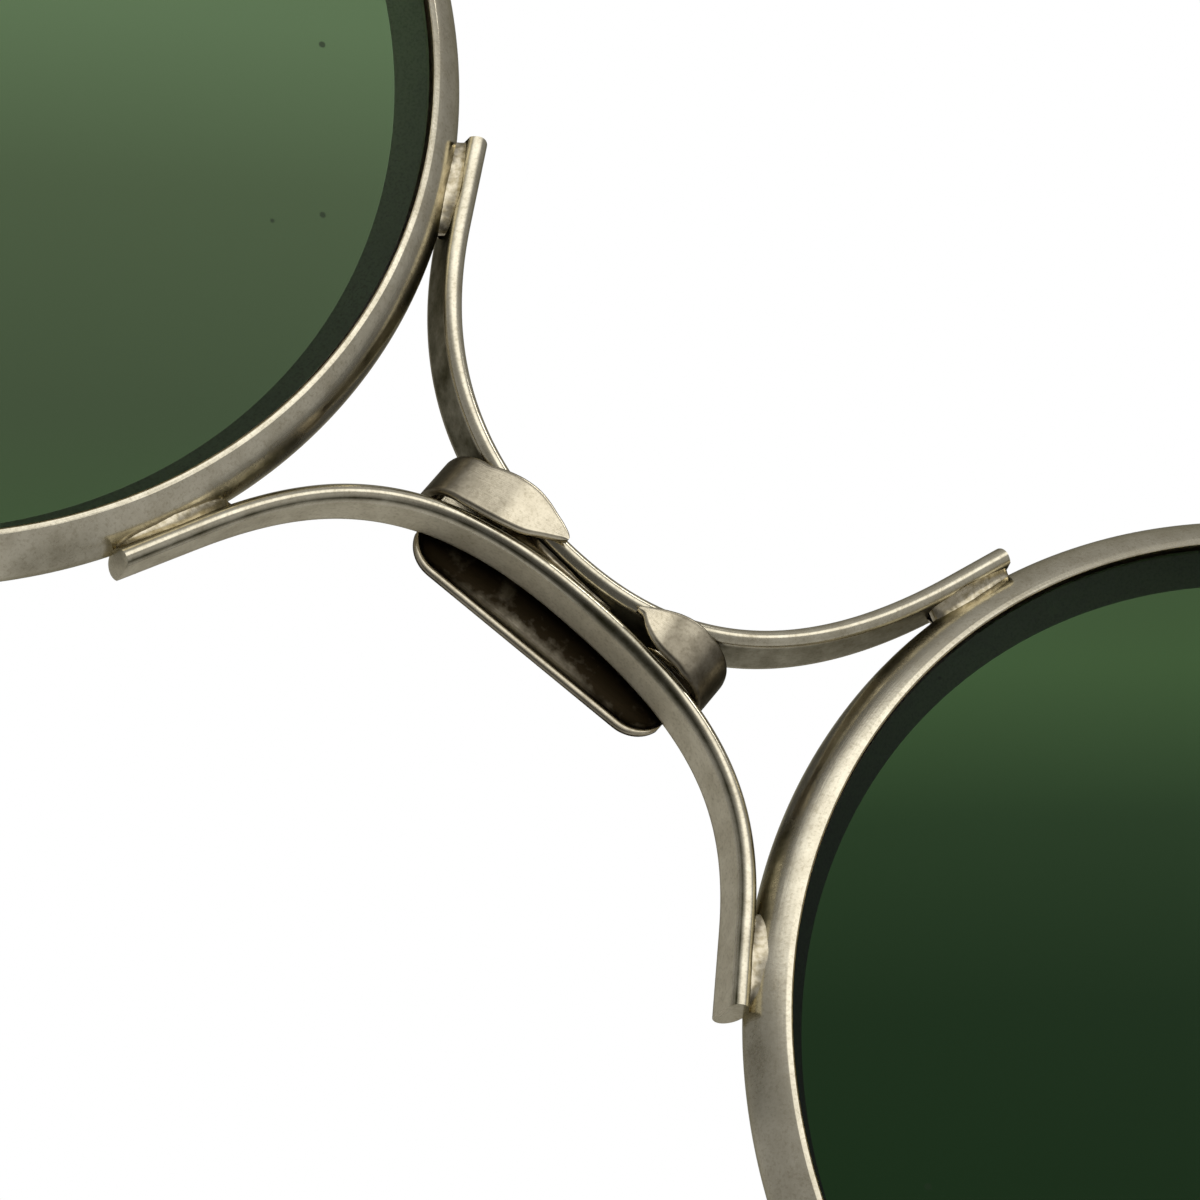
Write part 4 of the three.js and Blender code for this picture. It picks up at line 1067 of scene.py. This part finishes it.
def temple_rings(side, distances, widths, heights, corner):
    """Sections across the temple's line, with half widths and half heights."""
    rings = []
    for distance, wide, high in zip(distances, widths, heights):
        y, z, turn = temple_at(distance)
        outline = [(-wide, -high), (wide, -high), (wide, high), (-wide, high)]
        flat = rounded(outline, min(corner, wide * 0.98, high * 0.98), 5)
        rings.append(np.column_stack([
            side * ARM_MID_X + flat[:, 0], y + flat[:, 1] * math.sin(turn), z + flat[:, 1] * math.cos(turn),
        ]))
    return rings


def temple_arm(side):
    """A flat arm, deepest at the hinge, with a softened front end."""
    end = EAR_LENGTH + EAR_DROP - TIP_PAST_ARM
    distances = np.concatenate([
        np.array([0.0, 0.1, 0.3, 0.6]) - ARM_STRAIGHT, np.linspace(2.0 - ARM_STRAIGHT, 0.0, 40),
        np.linspace(0.3, EAR_LENGTH, 24), np.linspace(EAR_LENGTH + 1, end, 6),
    ])
    heights = np.interp(distances, [-ARM_STRAIGHT, 0.0], ARM_HALF_HEIGHTS)
    widths = np.full(len(distances), ARM_HALF_WIDTH)
    for sizes in (heights, widths):
        sizes[:3] -= (0.2, 0.1, 0.03)
    return loft("temple_arm", temple_rings(side, distances, widths, heights, ARM_CORNER), [DRAWN_WIRE])


def temple_tip(side):
    """A sleeve on the arm's end that grows deeper to its round cap."""
    start, end = EAR_LENGTH + TIP_START, EAR_LENGTH + EAR_DROP
    cap = np.linspace(0.0, math.pi / 2, 12)[1:]
    distances = np.concatenate([
        [start, start + 0.12, start + 0.4], np.linspace(start + 1.0, end, 24),
        end + TIP_END_HALF_HEIGHT * np.sin(cap) * 0.998,
    ])
    grow = np.clip((distances - start) / (end - start), 0.0, 1.0)
    heights = TIP_START_HALF_HEIGHT + (TIP_END_HALF_HEIGHT - TIP_START_HALF_HEIGHT) * grow
    widths = np.full(len(distances), TIP_HALF_WIDTH)
    for sizes in (heights, widths):
        sizes[:2] -= (0.22, 0.08)
    heights[-len(cap):] = TIP_END_HALF_HEIGHT * np.maximum(np.cos(cap), 0.03)
    widths[-len(cap):] = TIP_HALF_WIDTH * np.maximum(np.cos(cap) ** 0.6, 0.1)
    return loft("temple_tip", temple_rings(side, distances, widths, heights, TIP_CORNER), [ACETATE], sharp=60.0)


# Stage

def make_camera():
    """The photograph's view: from the front, 30 degrees below, turned 36 degrees in the picture."""
    forward = (AIM - EYE) / np.linalg.norm(AIM - EYE)
    right = np.cross(forward, (0.0, 0.0, 1.0))
    right /= np.linalg.norm(right)
    up = np.cross(right, forward)
    turned_right = right * math.cos(ROLL) + up * math.sin(ROLL)
    turned_up = up * math.cos(ROLL) - right * math.sin(ROLL)
    data = bpy.data.cameras.new("camera")
    data.sensor_width = 36.0
    data.lens = FOCAL_LENGTH
    data.clip_start = 0.01
    camera = in_scene("camera", data)
    axes = Matrix(np.column_stack([turned_right, turned_up, -forward]).tolist()).to_3x3()
    camera.matrix_world = Matrix.LocRotScale(Vector(placed(EYE)), axes, None)
    bpy.context.scene.camera = camera


def make_world():
    """A white studio. Metal sees it white in front, grey around, and dark behind and where the camera stands."""
    world = bpy.data.worlds.new("white_studio")
    bpy.context.scene.world = world
    world.use_nodes = True
    world.cycles.sampling_method = "NONE"
    tree = world.node_tree
    tree.nodes.clear()
    where = add(tree, "ShaderNodeTexCoord").outputs["Generated"]
    x, y, z = add(tree, "ShaderNodeSeparateXYZ", {"Vector": where}).outputs
    # A window ahead, between its sill, slanting head and splayed jamb, in grey walls
    ahead = add(tree, "ShaderNodeMapRange", {"Value": y, "From Min": -0.15, "From Max": -0.6, "To Max": 1.08}, **SOFT)
    sill = add(tree, "ShaderNodeMapRange", {"Value": z, "From Min": -0.12, "From Max": 0.25}, **SOFT)
    slant = add(tree, "ShaderNodeMath", {0: x, 1: -0.12, 2: z}, operation="MULTIPLY_ADD")
    head = add(tree, "ShaderNodeMapRange", {"Value": slant, "From Min": 0.74, "From Max": 0.56}, **SOFT)
    splay = add(tree, "ShaderNodeMath", {0: z, 1: -0.5, 2: x}, operation="MULTIPLY_ADD")
    jamb = add(tree, "ShaderNodeMapRange", {"Value": splay, "From Min": 0.28, "From Max": 0.08}, **SOFT)
    tall = add(tree, "ShaderNodeMath", {0: head, 1: sill}, operation="MULTIPLY")
    pane = add(tree, "ShaderNodeMath", {0: ahead, 1: tall}, operation="MULTIPLY")
    drop = add(tree, "ShaderNodeMath", {0: 0.3, 1: z}, operation="SUBTRACT")
    skew = add(tree, "ShaderNodeMath", {0: drop, 1: x}, operation="MULTIPLY")
    walls = add(tree, "ShaderNodeMath", {0: skew, 1: 0.12, 2: 0.36}, operation="MULTIPLY_ADD")
    window = add(tree, "ShaderNodeMath", {0: pane, 1: jamb, 2: walls}, operation="MULTIPLY_ADD")
    # The sides are darker above the floor, less so under the roof, and not straight behind
    dim = add(tree, "ShaderNodeMapRange", {"Value": y, "From Min": -0.35, "From Max": -0.05, "To Max": 0.78}, **SOFT)
    roof = add(tree, "ShaderNodeMapRange", {
        "Value": z, "From Min": 0.5, "From Max": 0.8, "To Min": 1.0, "To Max": 0.25,
    }, **SOFT)
    facing = add(tree, "ShaderNodeMapRange", {
        "Value": y, "From Min": 0.6, "From Max": 0.88, "To Min": 1.0, "To Max": 0.0,
    }, **SOFT)
    above = add(tree, "ShaderNodeMapRange", {"Value": z, "From Min": -0.1, "From Max": 0.25}, **SOFT)
    for limit in (roof, facing, above):
        dim = add(tree, "ShaderNodeMath", {0: dim, 1: limit}, operation="MULTIPLY")
    kept = add(tree, "ShaderNodeMath", {0: 1.0, 1: dim}, operation="SUBTRACT")
    room = add(tree, "ShaderNodeMath", {0: window, 1: kept}, operation="MULTIPLY")
    # Where the camera stands
    toward = add(tree, "ShaderNodeVectorMath", {0: where, 1: (0.0, -0.7, -0.714)}, operation="DOT_PRODUCT")
    figure = add(tree, "ShaderNodeMapRange", {
        "Value": toward.outputs["Value"], "From Min": 0.75, "From Max": 0.95, "To Min": 1.0, "To Max": 0.3,
    }, **SOFT)
    seen = add(tree, "ShaderNodeMath", {0: room, 1: figure}, operation="MULTIPLY")
    ray = add(tree, "ShaderNodeLightPath").outputs
    level = add(tree, "ShaderNodeMix", {0: ray["Is Glossy Ray"], 2: 0.75, 3: seen}, data_type="FLOAT")
    plain = add(tree, "ShaderNodeMath", {
        0: ray["Is Camera Ray"], 1: ray["Is Transmission Ray"],
    }, operation="MAXIMUM")
    strength = add(tree, "ShaderNodeMix", {0: plain, 2: level, 3: 1.0}, data_type="FLOAT")
    shine = add(tree, "ShaderNodeBackground", {"Color": (1.0, 1.0, 1.0, 1.0), "Strength": strength})
    add(tree, "ShaderNodeOutputWorld", {"Surface": shine})


def pale_floor(tree, body):
    """A matt pale floor that fades out into the white, and can't be seen from below or in a mirror."""
    far = add(tree, "ShaderNodeVectorMath", {0: body}, operation="LENGTH").outputs["Value"]
    clear = add(tree, "ShaderNodeMapRange", {"Value": far, "From Min": 0.12, "From Max": 0.5}, **SOFT)
    below = add(tree, "ShaderNodeNewGeometry").outputs["Backfacing"]
    mirrored = add(tree, "ShaderNodeLightPath").outputs["Is Glossy Ray"]
    for unseen in (below, mirrored):
        clear = add(tree, "ShaderNodeMath", {0: clear, 1: unseen}, operation="MAXIMUM")
    pale = add(tree, "ShaderNodeBsdfDiffuse", {"Color": linear("#F0EEEA")})
    open_air = add(tree, "ShaderNodeBsdfTransparent")
    return add(tree, "ShaderNodeMixShader", {0: clear, 1: pale, 2: open_air})


def make_floor():
    """A round floor just under the part."""
    radius, corners, drop = 1.2, 96, 0.00005
    turn = np.linspace(0.0, 2 * math.pi, corners, endpoint=False)
    outline = np.column_stack([radius * np.cos(turn), radius * np.sin(turn), np.full(corners, -drop)])
    mesh = bpy.data.meshes.new("floor")
    mesh.from_pydata(outline.tolist(), [], [list(range(corners))])
    mesh.materials.append(material("pale_floor", pale_floor))
    floor = in_scene("floor", mesh)


def make_softbox(name, direction, distance, size, energy):
    """A soft lamp that faces the bridge."""
    data = bpy.data.lights.new(name, "AREA")
    data.shape = "RECTANGLE"
    data.size, data.size_y = size
    data.energy = energy
    lamp = in_scene(name, data)
    bridge = Vector(placed((0.0, 1.5, 0.0)))
    lamp.location = bridge + Vector(direction).normalized() * distance
    lamp.rotation_euler = (bridge - lamp.location).to_track_quat("-Z", "Y").to_euler()


bpy.context.scene.view_settings.view_transform = "Standard"
make_camera()
make_world()
make_floor()
make_softbox("overhead_softbox", (0.08, -0.34, 0.94), 0.45, (0.2, 0.07), 0.2)

DRAWN_WIRE = material("drawn_nickel_silver", nickel_silver, "#E3DBC4", "#BCB299", "#38361F", 0.17, 0.4)
ROLLED_SHEET = material("rolled_nickel_silver", nickel_silver, "#D8CEB6", "#B3A88F", "#30281B", 0.2, 0.6)
SOLDER = material("hard_solder", solder)
GLASS = material("green_mineral_glass", green_glass)
GROUND = material("ground_glass_edge", ground_glass)
STEEL = material("turned_steel", screw_steel)
ACETATE = material("brown_acetate", brown_acetate)
SWEEP = sweep_tree()
SCREWS = screw_tree()

show(wire("bridge_wire_upper", UPPER_WIRE), "upper_bridge_wire", "front", "nickel_silver", "bridge_wire_upper")
show(wire("bridge_wire_lower", LOWER_WIRE), "lower_bridge_wire", "front", "nickel_silver", "bridge_wire_lower")
show(middle_seam(), "middle_solder", "front", "nickel_silver")
show(saddle(), "folded_nose_saddle", "front", "nickel_silver", "nose_saddle")

for side, hand in ((LEFT, "left"), (RIGHT, "right")):
    show(rim(side), f"grooved_rim_{hand}", "front", "nickel_silver", f"rim_{hand}")
    show(lens(side), f"green_lens_{hand}", "front", "green_glass", f"lens_{hand}")
    show(solder_seam(UPPER_WIRE, side), f"upper_solder_{hand}", "front", "nickel_silver")
    show(solder_seam(LOWER_WIRE, side), f"lower_solder_{hand}", "front", "nickel_silver")
    show(endpiece(side), f"rounded_endpiece_{hand}", "front", "nickel_silver", f"endpiece_{hand}")
    show(closing_block(side), f"rounded_closing_block_{hand}", "front", "nickel_silver", f"closing_block_{hand}")
    show(front_hinge(side), f"front_hinge_knuckles_{hand}", "front", "nickel_silver", f"front_hinge_{hand}")
    temple = f"temple_{hand}"
    show(temple_hinge(side), f"temple_hinge_knuckle_{hand}", temple, "nickel_silver", f"temple_hinge_{hand}")
    show(temple_arm(side), f"side_arm_{hand}", temple, "nickel_silver", f"temple_arm_{hand}")
    show(temple_tip(side), f"ear_tip_{hand}", temple, "brown_plastic", f"temple_tip_{hand}")

closing_seats = [(side * CLOSING_SCREW_X, RIM_MID_Y, -BLOCK_HIGH) for side in (RIGHT, LEFT)]
show(
    screws("closing_screws", closing_seats, (0.0, 0.0, -1.0), *CLOSING_SHANK),
    "slotted_closing_screws", "front", "screw_steel", "closing_screw_left", "closing_screw_right",
)
hinge_seats = [(side * HINGE_X, HINGE_Y, HINGE_Z + HINGE_HALF_HEIGHT) for side in (RIGHT, LEFT)]
show(
    screws("hinge_screws", hinge_seats, (0.0, 0.0, 1.0), *HINGE_SHANK),
    "slotted_hinge_screws", "front", "screw_steel", "hinge_screw_left", "hinge_screw_right",
)
